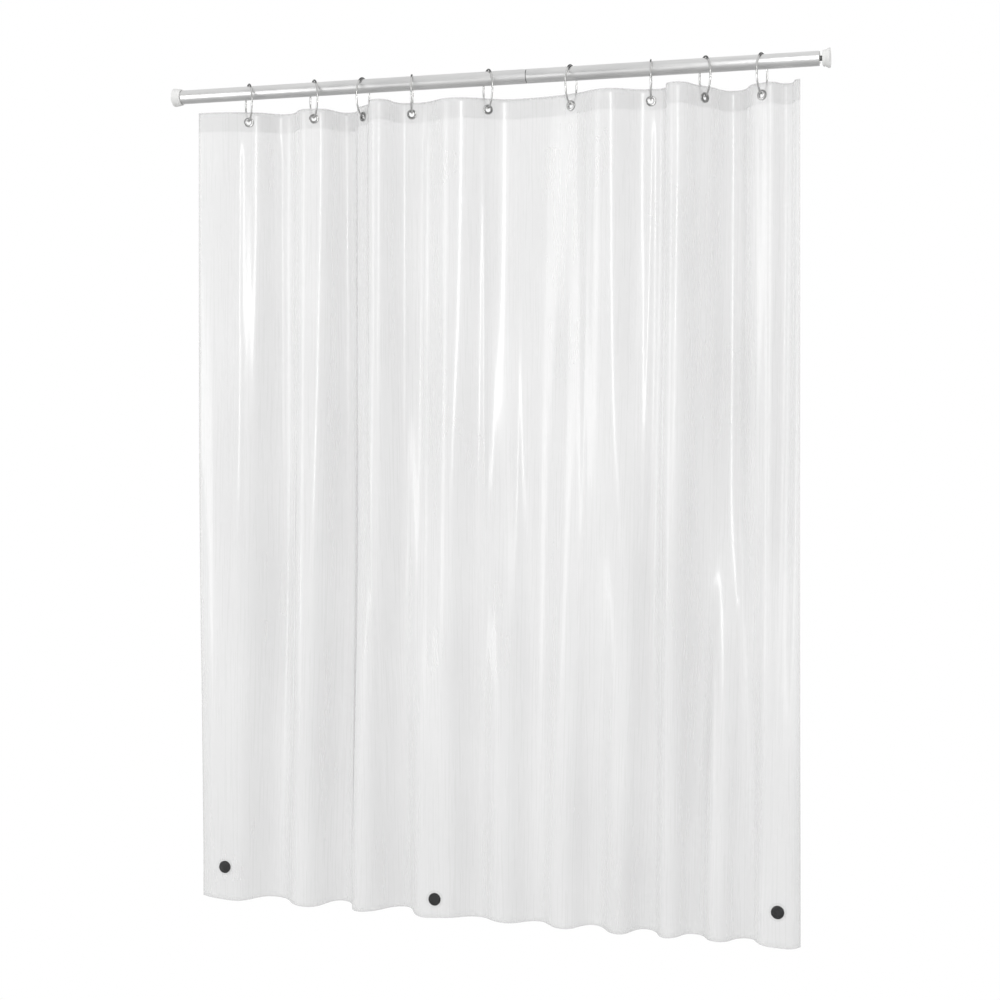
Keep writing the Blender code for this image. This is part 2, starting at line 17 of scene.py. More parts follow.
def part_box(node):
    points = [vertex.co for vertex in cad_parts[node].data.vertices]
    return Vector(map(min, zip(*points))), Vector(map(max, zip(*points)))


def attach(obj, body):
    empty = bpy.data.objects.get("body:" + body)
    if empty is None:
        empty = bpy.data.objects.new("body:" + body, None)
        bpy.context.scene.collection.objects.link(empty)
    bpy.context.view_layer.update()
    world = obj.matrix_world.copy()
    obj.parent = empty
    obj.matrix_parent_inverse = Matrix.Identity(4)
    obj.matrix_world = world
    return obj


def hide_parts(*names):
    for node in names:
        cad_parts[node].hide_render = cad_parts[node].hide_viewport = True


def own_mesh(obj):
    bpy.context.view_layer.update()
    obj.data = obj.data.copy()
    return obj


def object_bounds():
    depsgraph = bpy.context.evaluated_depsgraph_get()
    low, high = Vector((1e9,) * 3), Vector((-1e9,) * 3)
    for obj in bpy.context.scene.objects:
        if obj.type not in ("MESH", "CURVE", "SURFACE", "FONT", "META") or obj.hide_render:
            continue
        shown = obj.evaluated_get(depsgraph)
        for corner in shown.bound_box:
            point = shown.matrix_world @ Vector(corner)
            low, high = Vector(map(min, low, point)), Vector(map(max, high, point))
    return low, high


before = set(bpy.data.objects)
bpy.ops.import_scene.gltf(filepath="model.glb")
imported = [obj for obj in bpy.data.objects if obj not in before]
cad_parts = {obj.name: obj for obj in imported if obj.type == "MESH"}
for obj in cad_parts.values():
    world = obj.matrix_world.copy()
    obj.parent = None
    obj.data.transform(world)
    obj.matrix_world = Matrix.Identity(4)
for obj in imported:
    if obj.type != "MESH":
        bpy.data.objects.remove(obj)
CAD_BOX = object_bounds()
LOG = logging.getLogger("shower_curtain")

SEED = 7
MM = 0.001
Socket = bpy.types.NodeSocket


class Side(IntEnum):
    """The two sides of the curtain, as the sign of Y."""

    ROOM = -1
    BATHER = 1


# ---------------------------------------------------------------- finishes

class NodeTree:
    """A node tree, with short ways to add nodes and to set or link their sockets."""

    def __init__(self, tree: bpy.types.NodeTree) -> None:
        """Empty a tree and hold it."""
        self.tree = tree
        tree.nodes.clear()

    def feed(self, value: object, socket: Socket) -> None:
        """Give a socket a value, or link another socket to it.

        Args:
            value: the value, or the socket to link from.
            socket: the socket that takes it.
        """
        if isinstance(value, Socket):
            self.tree.links.new(value, socket)
        else:
            socket.default_value = value

    def add(self, kind: str, **values: object) -> bpy.types.Node:
        """Add a node, and set its properties before its sockets.

        Args:
            kind: the node's type.
            values: a property's name, or a socket's name with spaces as underscores, to its value.

        Returns:
            The new node.
        """
        made = self.tree.nodes.new(kind)
        sockets = {key: value for key, value in values.items() if not hasattr(made, key)}
        for key, value in values.items():
            if key not in sockets:
                setattr(made, key, value)
        for key, value in sockets.items():
            self.feed(value, made.inputs[key.replace("_", " ")])
        return made

    def mixed(self, share: Socket, first: bpy.types.Node, second: bpy.types.Node) -> bpy.types.Node:
        """Mix two shaders.

        Args:
            share: how much of the second shader there is.
            first: the shader where the share is 0.
            second: the shader where it is 1.

        Returns:
            The mixing node.
        """
        made = self.add("ShaderNodeMixShader", Fac=share)
        self.feed(first.outputs[0], made.inputs[1])
        self.feed(second.outputs[0], made.inputs[2])
        return made


class NodeSheet(NodeTree):
    """A material's node tree, with the patterns that the finishes share."""

    dark_end = 0.3
    light_end = 0.7

    def __init__(self, name: str) -> None:
        """Start an empty material of that name."""
        self.material = bpy.data.materials.new(name)
        self.material.use_nodes = True
        super().__init__(self.material.node_tree)

    def stretched(self, source: str, scale: tuple[float, float, float]) -> Socket:
        """Texture space stretched along its axes.

        Args:
            source: the Texture Coordinate output to read, Object or UV.
            scale: how many pattern units there are to a metre, along each axis.

        Returns:
            The socket that carries the stretched space.
        """
        space = self.add("ShaderNodeTexCoord")
        return self.add("ShaderNodeMapping", Scale=scale, Vector=space.outputs[source]).outputs["Vector"]

    def noise(self, space: Socket, detail: float, roughness: float = 0.5) -> Socket:
        """Soft noise of unit size in a space."""
        made = self.add("ShaderNodeTexNoise", Scale=1.0, Detail=detail, Roughness=roughness, Vector=space)
        return made.outputs["Fac"]

    def between(self, share: Socket, low: float, high: float) -> Socket:
        """A number that goes from low to high as noise goes from dark to light.

        Args:
            share: the noise.
            low: the number where the noise is dark.
            high: the number where it is light.

        Returns:
            The socket that carries the number.
        """
        made = self.add(
            "ShaderNodeMapRange", From_Min=self.dark_end, From_Max=self.light_end, To_Min=low, To_Max=high,
            Value=share,
        )
        return made.outputs["Result"]

    def tints(self, share: Socket, dark: tuple, light: tuple) -> Socket:
        """A colour that goes from dark to light as noise does.

        Args:
            share: the noise.
            dark: red, green and blue where the noise is dark.
            light: the same where it is light.

        Returns:
            The socket that carries the colour.
        """
        made = self.add("ShaderNodeValToRGB", Fac=share)
        stops = ((self.dark_end, dark), (self.light_end, light))
        for element, (place, tint) in zip(made.color_ramp.elements, stops):
            element.position = place
            element.color = (*tint, 1.0)
        return made.outputs["Color"]

    def bumped(self, height: Socket, depth: float) -> Socket:
        """A normal raised by a height, in metres at full height."""
        return self.add("ShaderNodeBump", Strength=1.0, Distance=depth, Height=height).outputs["Normal"]

    def finish(self, shader: bpy.types.Node) -> bpy.types.Material:
        """Send a shader to the surface, and return the finished material."""
        self.add("ShaderNodeOutputMaterial", Surface=shader.outputs[0])
        return self.material


@dataclass(frozen=True)
class FrostedFilm:
    """Clear plastic film with a soft frost: see-through, glossy, with fine lines down its length."""

    name: str
    solid: float
    dark: tuple = (0.70, 0.70, 0.70)
    light: tuple = (0.80, 0.80, 0.80)
    smooth: float = 0.24
    rough: float = 0.34
    coat: float = 0.75
    line_depth: float = 0.00009

    def make(self) -> bpy.types.Material:
        """Build the material on the film's own UV map, whose units are metres of flat film."""
        sheet = NodeSheet(self.name)
        clouds = sheet.noise(sheet.stretched("UV", (5.0, 2.2, 1.0)), 3.0)
        lines = sheet.noise(sheet.stretched("UV", (210.0, 5.0, 1.0)), 2.0)
        shader = sheet.add(
            "ShaderNodeBsdfPrincipled", Alpha=self.solid, IOR=1.5, Coat_Weight=self.coat, Coat_Roughness=0.13,
            Base_Color=sheet.tints(clouds, self.dark, self.light),
            Roughness=sheet.between(lines, self.smooth, self.rough),
            Normal=sheet.bumped(lines, self.line_depth),
        )
        return sheet.finish(shader)


@dataclass(frozen=True)
class DrawnMetal:
    """Bare metal with drawing lines along one axis."""

    name: str
    dark: tuple
    light: tuple
    smooth: float
    rough: float
    grain: tuple
    line_depth: float = 0.00001
    painted_shade_above: float = 1.0
    painted_shade_fade: float = 0.005
    painted_shade_tone: float = 0.16

    def make(self) -> bpy.types.Material:
        """Build the material on Object coordinates, darker above a height, where shade and dark reflection are
        painted into the colour.
        """
        sheet = NodeSheet(self.name)
        lines = sheet.noise(sheet.stretched("Object", self.grain), 3.0, 0.6)
        clouds = sheet.noise(sheet.stretched("Object", (9.0, 40.0, 40.0)), 2.0)
        parts = sheet.add("ShaderNodeSeparateXYZ", Vector=sheet.stretched("Object", (1.0, 1.0, 1.0)))
        # painted shade: above this height the base colour darkens, standing in for the shade and dark
        # reflection where the wire passes over the rod
        tone = sheet.add(
            "ShaderNodeMapRange", From_Min=self.painted_shade_above, From_Max=self.painted_shade_above + self.painted_shade_fade,
            To_Min=1.0, To_Max=self.painted_shade_tone, Value=parts.outputs["Z"],
        )
        dimmed = sheet.add(
            "ShaderNodeVectorMath", operation="SCALE", Scale=tone.outputs[0],
            Vector=sheet.tints(clouds, self.dark, self.light),
        )
        shader = sheet.add(
            "ShaderNodeBsdfPrincipled", Metallic=1.0, Anisotropic=0.35, Base_Color=dimmed.outputs[0],
            Roughness=sheet.between(lines, self.smooth, self.rough),
            Normal=sheet.bumped(lines, self.line_depth),
        )
        return sheet.finish(shader)


@dataclass(frozen=True)
class Moulded:
    """Moulded rubber or plastic with a fine even grain."""

    name: str
    dark: tuple
    light: tuple
    smooth: float
    rough: float
    grain: float = 900.0
    depth: float = 0.00003
    coat: float = 0.0

    def make(self) -> bpy.types.Material:
        """Build the material on Object coordinates."""
        sheet = NodeSheet(self.name)
        grain = sheet.noise(sheet.stretched("Object", (self.grain,) * 3), 2.0)
        clouds = sheet.noise(sheet.stretched("Object", (60.0,) * 3), 3.0)
        shader = sheet.add(
            "ShaderNodeBsdfPrincipled", Coat_Weight=self.coat, Coat_Roughness=0.2,
            Base_Color=sheet.tints(clouds, self.dark, self.light),
            Roughness=sheet.between(grain, self.smooth, self.rough),
            Normal=sheet.bumped(grain, self.depth),
        )
        return sheet.finish(shader)


def made_by(finish: FrostedFilm | DrawnMetal | Moulded) -> bpy.types.Material:
    """A dataclass field whose material a finish makes."""
    return field(default_factory=finish.make)


@dataclass(frozen=True)
class Finishes:
    """Every finish on the object, made once."""

    film: bpy.types.Material = made_by(FrostedFilm("film", 0.34))
    band: bpy.types.Material = made_by(FrostedFilm("band_film", 0.15, (0.56, 0.56, 0.56), (0.68, 0.68, 0.68)))
    pocket: bpy.types.Material = made_by(
        FrostedFilm("pocket_film", 0.03, (0.3, 0.3, 0.3), (0.4, 0.4, 0.4), coat=0.0)
    )
    rod: bpy.types.Material = made_by(
        DrawnMetal("satin_rod", (0.68, 0.68, 0.68), (0.78, 0.78, 0.775), 0.30, 0.42, (14.0, 2200.0, 2200.0))
    )
    # painted shade darkens the wire above 8 mm, standing in for the shaded top of each ring over the rod
    wire: bpy.types.Material = made_by(DrawnMetal(
        "bright_wire", (0.56, 0.56, 0.56), (0.68, 0.68, 0.67), 0.06, 0.13, (500.0, 500.0, 90.0),
        painted_shade_above=0.008,
    ))
    eyelet: bpy.types.Material = made_by(
        DrawnMetal("eyelet_plate", (0.30, 0.30, 0.30), (0.42, 0.42, 0.415), 0.14, 0.24, (500.0, 500.0, 90.0))
    )
    steel: bpy.types.Material = made_by(
        DrawnMetal("plain_steel", (0.16, 0.16, 0.16), (0.26, 0.26, 0.255), 0.34, 0.50, (60.0, 900.0, 900.0))
    )
    rubber: bpy.types.Material = made_by(
        Moulded("foot_rubber", (0.72, 0.72, 0.71), (0.82, 0.82, 0.81), 0.55, 0.75)
    )
    plastic: bpy.types.Material = made_by(
        Moulded("plug_plastic", (0.62, 0.62, 0.61), (0.70, 0.70, 0.69), 0.40, 0.55)
    )
    magnet: bpy.types.Material = made_by(
        Moulded("magnet_coat", (0.006, 0.006, 0.006), (0.016, 0.016, 0.017), 0.34, 0.48)
    )


# ---------------------------------------------------------------- mesh and node-tree helpers

def add_piece(name: str, mesh: bpy.types.Mesh, finish: bpy.types.Material) -> bpy.types.Object:
    """Put a finished mesh into the scene as a piece at the origin.

    Args:
        name: the piece's name.
        mesh: its mesh, in the row's frame.
        finish: its material.

    Returns:
        The new object.
    """
    mesh.materials.clear()
    mesh.materials.append(finish)
    piece = bpy.data.objects.new(name, mesh)
    bpy.context.scene.collection.objects.link(piece)
    return piece


def settle(piece: bpy.types.Object) -> bpy.types.Object:
    """Turn a piece with modifiers into a plain mesh, and drop the modifiers.

    Args:
        piece: an object whose modifiers make its final shape.

    Returns:
        The same object, with the evaluated mesh.
    """
    bpy.context.view_layer.update()
    graph = bpy.context.evaluated_depsgraph_get()
    mesh = bpy.data.meshes.new_from_object(piece.evaluated_get(graph))
    piece.modifiers.clear()
    piece.data = mesh
    mesh.name = piece.name
    return piece


def stand_in(piece: bpy.types.Object, body: str, node: str) -> bpy.types.Object:
    """Tie a piece to the frame.

    Args:
        piece: the piece.
        body: the body that it rides on.
        node: the CAD node that it replaces.

    Returns:
        The same piece.
    """
    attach(piece, body)
    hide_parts(node)
    return piece


def meshed(name: str, work: bmesh.types.BMesh) -> bpy.types.Mesh:
    """Turn worked geometry into a mesh of that name, and free it."""
    mesh = bpy.data.meshes.new(name)
    work.to_mesh(mesh)
    work.free()
    return mesh


def eased(share: np.ndarray) -> np.ndarray:
    """A share kept between 0 and 1, with soft ends."""
    share = np.clip(share, 0, 1)
    return share * share * (3 - 2 * share)


def swelling(places: np.ndarray, centre: float, half: float) -> np.ndarray:
    """1 at a centre, and less to either side of it, over a half-width."""
    return np.exp(-(((places - centre) / half) ** 2))


def smooth(mesh: bpy.types.Mesh, angle: float = 40.0) -> None:
    """Shade a mesh smooth, apart from edges sharper than an angle in degrees."""
    mesh.shade_smooth()
    mesh.set_sharp_from_angle(angle=math.radians(angle))


def lathe(profile: list[tuple[float, float]], steps: int, matrix: Matrix) -> bpy.types.Mesh:
    """Turn a closed outline of (radius, height) points about Z.

    Args:
        profile: the outline; one that starts and ends on the axis makes a solid.
        steps: how many facets go round.
        matrix: where the turned shape goes.

    Returns:
        A closed mesh with its faces outwards.
    """
    work = bmesh.new()
    closed = min(radius for radius, _ in profile) > MM / 100
    points = [work.verts.new((radius, 0.0, height)) for radius, height in profile]
    pairs = list(zip(points, points[1:])) + ([(points[-1], points[0])] if closed else [])
    edges = [work.edges.new(pair) for pair in pairs]
    bmesh.ops.spin(
        work, geom=points + edges, cent=(0, 0, 0), axis=(0, 0, 1), angle=math.tau, steps=steps,
        use_merge=True, use_duplicate=False,
    )
    bmesh.ops.remove_doubles(work, verts=work.verts, dist=MM / 100)
    bmesh.ops.recalc_face_normals(work, faces=work.faces)
    work.transform(matrix)
    mesh = meshed("turned", work)
    smooth(mesh)
    return mesh


def rounded(corners: list[tuple[float, float, float]], steps: int = 4) -> list[tuple[float, float]]:
    """Outline with its corners rounded.

    Args:
        corners: (radius, height, fillet) of each corner, in order.
        steps: how many short sides make each fillet.

    Returns:
        The outline's points.
    """
    points = []
    count = len(corners)
    for i, (x, y, fillet) in enumerate(corners):
        here = Vector((x, y))
        if fillet <= 0:
            points.append((x, y))
            continue
        before = Vector(corners[i - 1][:2]) - here
        after = Vector(corners[(i + 1) % count][:2]) - here
        start = here + before.normalized() * min(fillet, before.length / 2)
        end = here + after.normalized() * min(fillet, after.length / 2)
        for k in range(steps + 1):
            t = k / steps
            point = start * (1 - t) ** 2 + here * 2 * t * (1 - t) + end * t * t
            points.append((point.x, point.y))
    return points


class NodeForm(NodeTree):
    """A Geometry Nodes tree with named inputs, run once for each piece it makes."""

    def __init__(self, name: str, inputs: dict[str, float]) -> None:
        """Start a tree.

        Args:
            name: the tree's name.
            inputs: each input's name and its usual value.
        """
        super().__init__(bpy.data.node_groups.new(name, "GeometryNodeTree"))
        face = self.tree.interface
        self.sockets: dict[str, str] = {}
        for key, value in inputs.items():
            socket = face.new_socket(key, in_out="INPUT", socket_type="NodeSocketFloat")
            socket.default_value = value
            self.sockets[key] = socket.identifier
        finish = face.new_socket("Finish", in_out="INPUT", socket_type="NodeSocketMaterial")
        self.sockets["Finish"] = finish.identifier
        face.new_socket("Geometry", in_out="OUTPUT", socket_type="NodeSocketGeometry")
        self.given = self.tree.nodes.new("NodeGroupInput")

    def size(self, name: str) -> Socket:
        """The tree's own input of that name."""
        return self.given.outputs[name]

    def math(self, how: str, a: object, b: object = 0.0) -> Socket:
        """Do a sum on two numbers.

        Args:
            how: the Math node's operation.
            a: the first number or socket.
            b: the second number or socket.

        Returns:
            The socket that carries the result.
        """
        made = self.add("ShaderNodeMath", operation=how)
        self.feed(a, made.inputs[0])
        self.feed(b, made.inputs[1])
        return made.outputs[0]

    def vector(self, x: object = 0.0, y: object = 0.0, z: object = 0.0) -> Socket:
        """A vector from three numbers or sockets."""
        return self.add("ShaderNodeCombineXYZ", X=x, Y=y, Z=z).outputs[0]

    def close(self, geometry: Socket) -> None:
        """End the tree in Realize Instances and Set Material."""
        real = self.add("GeometryNodeRealizeInstances", Geometry=geometry)
        dressed = self.add("GeometryNodeSetMaterial", Geometry=real.outputs[0], Material=self.size("Finish"))
        out = self.tree.nodes.new("NodeGroupOutput")
        self.feed(dressed.outputs[0], out.inputs[0])

    def run(self, name: str, finish: bpy.types.Material, base: bpy.types.Mesh | None = None,
            **sizes: float) -> bpy.types.Object:
        """Make one piece with the tree.

        Args:
            name: the piece's name.
            finish: its material.
            base: the mesh that the tree starts from, where it starts from one.
            sizes: each input's value, with spaces in its name as underscores.

        Returns:
            The piece, as a plain mesh.
        """
        piece = add_piece(name, base or bpy.data.meshes.new(name), finish)
        modifier = piece.modifiers.new("form", "NODES")
        modifier.node_group = self.tree
        for key, value in sizes.items():
            modifier[self.sockets[key.replace("_", " ")]] = value
        modifier[self.sockets["Finish"]] = finish
        settle(piece)
        return piece


# ---------------------------------------------------------------- the film's shape

@dataclass
class Drape:
    """How the film hangs: its line along the header, its line along the hem, and what lies between."""

    width: float = 1.829
    margin: float = 0.12
    eyelet_flat: float = 0.013
    tilts: tuple = (20, 14, -36, 8, 34, -20, 8, 50, -22)
    fold_sides: tuple = (
        Side.BATHER, Side.BATHER, Side.ROOM, Side.ROOM, Side.BATHER, Side.ROOM, Side.ROOM, Side.BATHER,
    )
    margin_sides: tuple = (Side.ROOM, Side.BATHER)
    magnets: tuple = (("left", 0.073), ("middle", 0.777), ("right", 1.777))
    magnet_flat: float = 0.022
    hem_plumb: float = 0.1
    hem_folds: tuple = (3, 6)
    hem_evenness: float = 0.5
    band_height: float = 0.045
    header_below: float = 0.006
    steps: int = 60
    rounds: int = 40
    fall: float = 1.5
    fold_range: tuple = (0.0, 2.0)
    hem_steps: int = 900
    swell_range: tuple = (0.5, 1.8)
    levels: int = 60
    level_steps: int = 1200
    level_rounds: int = 24
    depth_range: tuple = (0.8, 1.7)
    kept_length: float = 0.999

    def __post_init__(self) -> None:
        """Read the rings' places and the film's heights from the frame, and lay both lines."""
        self.rings = []
        self.eyelet_heights = []
        for number in range(1, len(self.tilts) + 1):
            low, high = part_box(f"ring_{number}")
            self.rings.append((low.x + high.x) / 2)
            low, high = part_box(f"eyelet_{number}")
            self.eyelet_heights.append((low.z + high.z) / 2)
        low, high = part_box("sheet_1")
        self.left, self.foot, self.top = low.x, low.z, high.z
        self.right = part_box(f"sheet_{len(self.tilts)}")[1].x
        self.pitch = (self.width - 2 * self.margin) / (len(self.tilts) - 1)
        self.straight = self.top - self.band_height - self.header_below
        self.plumb = self.foot + self.hem_plumb
        self.head = self._head_line()
        self.hem = self._hem_line()
        self.fullness = self._fullness()

    def eyelet_place(self, index: int) -> float:
        """Flat place of an eyelet along the film."""
        return self.margin + index * self.pitch

    def _angles(self, start: float, end: float, lean: float, fold: float) -> np.ndarray:
        """Directions of the short steps of a span, turning smoothly with a fold on top.

        Args:
            start: the direction at its start.
            end: the direction at its end.
            lean: how far its middle turns to one side.
            fold: how far its two halves turn to opposite sides.

        Returns:
            The direction of each step, in radians.
        """
        t = (np.arange(self.steps) + 0.5) / self.steps
        return start + (end - start) * eased(t) + lean * np.sin(np.pi * t) + fold * np.sin(math.tau * t)

    @staticmethod
    def _run(angles: np.ndarray, length: float) -> np.ndarray:
        """How far a span of that length carries the film along and across."""
        return np.array([np.cos(angles).mean(), np.sin(angles).mean()]) * length

    def _span(self, start: float, end: float, length: float, goal: np.ndarray, side: int) -> np.ndarray:
        """Directions of a span that ends at a goal, by Newton's method on its lean and fold.

        Args:
            start: the direction at its start.
            end: the direction at its end.
            length: its flat length.
            goal: where it ends, seen from its start.
            side: the side that it folds to.

        Returns:
            The direction of each step, in radians.
        """
        nudge = 1e-5
        lean, fold = 0.0, side * 2 * math.sqrt(1 - float(np.hypot(*goal)) / length)
        for _ in range(self.rounds):
            here = self._run(self._angles(start, end, lean, fold), length)
            by_lean = (self._run(self._angles(start, end, lean + nudge, fold), length) - here) / nudge
            by_fold = (self._run(self._angles(start, end, lean, fold + nudge), length) - here) / nudge
            change = np.linalg.solve(np.array([by_lean, by_fold]).T, goal - here)
            lean, fold = lean + change[0], fold + change[1]
        return self._angles(start, end, lean, fold)

    def _free_margin(self, start: float, end: float, length: float, across: float, side: int) -> np.ndarray:
        """Directions of a free margin whose run along the rod is known.

        Args:
            start: the direction at its start.
            end: the direction at its end.
            length: its flat length.
            across: its run along the rod.
            side: the side that it folds to.

        Returns:
            The direction of each step, in radians.
        """
        low, high = self.fold_range
        for _ in range(self.rounds):
            fold = (low + high) / 2
            angles = self._angles(start, end, 0.0, side * fold)
            low, high = (fold, high) if self._run(angles, length)[0] > across else (low, fold)
        return angles

    def _head_line(self) -> np.ndarray:
        """Rows of (flat place, x, y) along the header."""
        tilts = np.radians(self.tilts)
        held = [np.array([math.cos(tilt), math.sin(tilt)]) * self.eyelet_flat for tilt in tilts]
        margin = self.margin - self.eyelet_flat
        span = self.pitch - 2 * self.eyelet_flat
        left_run = self.rings[0] - self.left - held[0][0]
        right_run = self.right - self.rings[-1] - held[-1][0]
        pieces = [(self._free_margin(0.0, tilts[0], margin, left_run, self.margin_sides[0]), margin)]
        for i, side in enumerate(self.fold_sides):
            pieces.append((tilts[i:i + 1], 2 * self.eyelet_flat))
            goal = np.array([self.rings[i + 1] - self.rings[i], 0.0]) - held[i] - held[i + 1]
            pieces.append((self._span(tilts[i], tilts[i + 1], span, goal, side), span))
        pieces.append((tilts[-1:], 2 * self.eyelet_flat))
        pieces.append((self._free_margin(tilts[-1], 0.0, margin, right_run, self.margin_sides[1]), margin))
        angles = np.concatenate([directions for directions, _ in pieces])
        lengths = np.concatenate([np.full(len(a), length / len(a)) for a, length in pieces])
        first = self._run(pieces[0][0], margin) + held[0]
        return self._laid(angles, lengths, self.rings[0] - first[0], -first[1])

    @staticmethod
    def _laid(angles: np.ndarray, lengths: np.ndarray, x: float, y: float) -> np.ndarray:
        """Lay a line of steps that starts at a point.

        Args:
            angles: the direction of each step.
            lengths: the length of each step.
            x: where the line starts along the rod.
            y: where it starts across the rod.

        Returns:
            Rows of flat place, x and y.
        """
        flat = np.concatenate([[0.0], np.cumsum(lengths)])
        xs = x + np.concatenate([[0.0], np.cumsum(np.cos(angles) * lengths)])
        ys = y + np.concatenate([[0.0], np.cumsum(np.sin(angles) * lengths)])
        return np.array([flat, xs, ys])

    def _slackness(self, flat: np.ndarray) -> np.ndarray:
        """Hung width over flat width at each flat place, blended from gap to gap."""
        gaps = np.diff([self.left, *self.rings, self.right])
        widths = np.array([self.margin, *[self.pitch] * len(self.fold_sides), self.margin])
        middles = np.cumsum(widths) - widths / 2
        local = np.interp(flat, middles, gaps / widths)
        return local + (gaps.sum() / self.width - local) * self.hem_evenness

    def _hem_phase(self, flat: np.ndarray) -> np.ndarray:
        """How far the hem's folds have turned at each flat place, with a crest held at each magnet."""
        crest = 1.5 * math.pi
        places = [place for _, place in self.magnets]
        spans = [b - a - 2 * self.magnet_flat for a, b in zip(places, places[1:])]
        rates = [math.tau * folds / span for folds, span in zip(self.hem_folds, spans)]
        first, last = places[0] - self.magnet_flat, places[-1] + self.magnet_flat
        knots, phases = [first - 1.0, first], [crest - rates[0], crest]
        for i, place in enumerate(places):
            phase = crest + math.tau * sum(self.hem_folds[:i])
            knots += [place - self.magnet_flat + 1e-9, place + self.magnet_flat]
            phases += [phase, phase]
        knots.append(last + 1.0)
        phases.append(phases[-1] + rates[-1])
        return np.interp(flat, knots, phases)

    def _hem_line(self) -> np.ndarray:
        """Rows of (flat place, x, y) along the hem, which hangs as wide as the header."""
        step = self.width / self.hem_steps
        middles = step * (np.arange(self.hem_steps) + 0.5)
        steepest = np.sqrt(8 * (1 - np.sqrt(self._slackness(middles))))
        wave = np.cos(self._hem_phase(middles))
        low, high = self.swell_range
        for _ in range(self.rounds):
            swell = (low + high) / 2
            line = self._laid(swell * steepest * wave, np.full(self.hem_steps, step), self.left, 0.0)
            low, high = (swell, high) if line[1, -1] > self.right else (low, swell)
        line[2] -= line[2].mean()
        return line

    def _blend(
        self, flat: np.ndarray, z: np.ndarray, full: np.ndarray | float,
    ) -> tuple[np.ndarray, np.ndarray]:
        """Plan points of the plain surface, from the header's line to the hem's.

        Args:
            flat: places along the flat film.
            z: heights.
            full: what the folds' depth is multiplied by.

        Returns:
            The x and the y of each point.
        """
        share = np.clip((self.straight - z) / (self.straight - self.plumb), 0.0, 1.0) ** self.fall
        x = np.interp(flat, self.head[0], self.head[1])
        y = np.interp(flat, self.head[0], self.head[2])
        x = x + (np.interp(flat, self.hem[0], self.hem[1]) - x) * share
        y = y + (np.interp(flat, self.hem[0], self.hem[2]) - y) * share
        return x, y * full

    def _fullness(self) -> np.ndarray:
        """Rows of (height, fold depth) that keep each level of the film as long as it is flat."""
        heights = np.linspace(self.foot, self.top, self.levels)
        flat = np.linspace(0.0, self.width, self.level_steps)
        depths = []
        for z in heights:
            low, high = self.depth_range
            for _ in range(self.level_rounds):
                full = (low + high) / 2
                x, y = self._blend(flat, np.full_like(flat, z), full)
                length = np.hypot(np.diff(x), np.diff(y)).sum()
                low, high = (full, high) if length < self.width * self.kept_length else (low, full)
            depths.append(full)
        return np.array([heights, depths])

    def plain(self, flat: np.ndarray, z: np.ndarray) -> tuple[np.ndarray, np.ndarray]:
        """Plan points of the film before its creases.

        Args:
            flat: places along the flat film.
            z: heights.

        Returns:
            The x and the y of each point.
        """
        return self._blend(flat, z, np.interp(z, self.fullness[0], self.fullness[1]))


@dataclass
class Creases:
    """Ridges, fine pleats and crumples that stand on the film's plain folds."""

    drape: Drape
    crests: tuple = (0.098, 0.190, 0.272, 0.480, 0.585, 0.752, 0.905, 0.985, 1.160, 1.312, 1.470, 1.700)
    crest_height: float = 0.0016
    crest_width: float = 0.0075
    crest_end: float = 0.7875
    crest_fade: float = 0.5
    pleats: int = 150
    pleat_height: float = 0.0007
    pleat_inset: float = 0.01
    pleat_widths: tuple = (0.004, 0.012)
    pleat_starts: tuple = (0.0, 1.1)
    pleat_lengths: tuple = (0.3, 1.2)
    pleat_slants: tuple = (-0.015, 0.015)
    pleat_fade: float = 0.12
    crumpled: tuple = ((0.480, 0.16, 0.46), (0.480, 0.62, 0.85), (1.470, 0.30, 0.46), (1.470, 0.55, 0.98))
    crumple_height: float = 0.0022
    crumple_width: float = 0.013
    crumple_fade: float = 0.03
    kinks: int = 5
    kink_lengths: tuple = (0.018, 0.05)
    kink_slants: tuple = (-0.03, 0.03)
    kink_level: float = 0.6
    header_fade: float = 0.05

    def __post_init__(self) -> None:
        """Draw the pleats' and the crumples' places from a fixed seed."""
        draw = np.random.default_rng(SEED)
        drape = self.drape
        self.pleat_rows = [
            (
                draw.uniform(self.pleat_inset, drape.width - self.pleat_inset),
                draw.uniform(*self.pleat_widths),
                draw.uniform(-1.0, 1.0) * self.pleat_height,
                draw.uniform(*self.pleat_starts),
                draw.uniform(*self.pleat_lengths),
                draw.uniform(*self.pleat_slants),
            )
            for _ in range(self.pleats)
        ]
        self.crumple_rows = [
            [
                (draw.uniform(*self.kink_lengths), draw.uniform(*self.kink_slants), draw.uniform(0, math.tau))
                for _ in range(self.kinks)
            ]
            for _ in self.crumpled
        ]

    @staticmethod
    def _between(down: np.ndarray, start: float, end: float, soft: float) -> np.ndarray:
        """1 between two depths below the header, easing to 0 over a soft length outside them."""
        return eased((down - start) / soft + 1) * eased((end - down) / soft + 1)

    def height(self, flat: np.ndarray, z: np.ndarray) -> np.ndarray:
        """How far the creases stand from the plain film, towards the bather where positive.

        Args:
            flat: places along the flat film.
            z: heights.

        Returns:
            The offset of each point along the film's normal.
        """
        drape = self.drape
        down = drape.straight - z
        free = np.clip(down / self.header_fade, 0, 1)
        out = np.zeros_like(flat)
        fade = self._between(down, 0.0, self.crest_end, self.crest_fade)
        for place in self.crests:
            out -= self.crest_height * swelling(flat, place, self.crest_width) * fade
        for place, width, tall, start, length, slant in self.pleat_rows:
            inside = self._between(down, start, start + length, self.pleat_fade)
            out += tall * swelling(flat - slant * down, place, width) * inside
        for (place, start, end), waves in zip(self.crumpled, self.crumple_rows):
            inside = self._between(down, start, end, self.crumple_fade)
            kink = sum(
                np.abs(np.sin(math.pi * down / length + (flat - place) / across + phase)) - self.kink_level
                for length, across, phase in waves
            )
            out += self.crumple_height * swelling(flat, place, self.crumple_width) * inside * kink / len(waves)
        return out * free


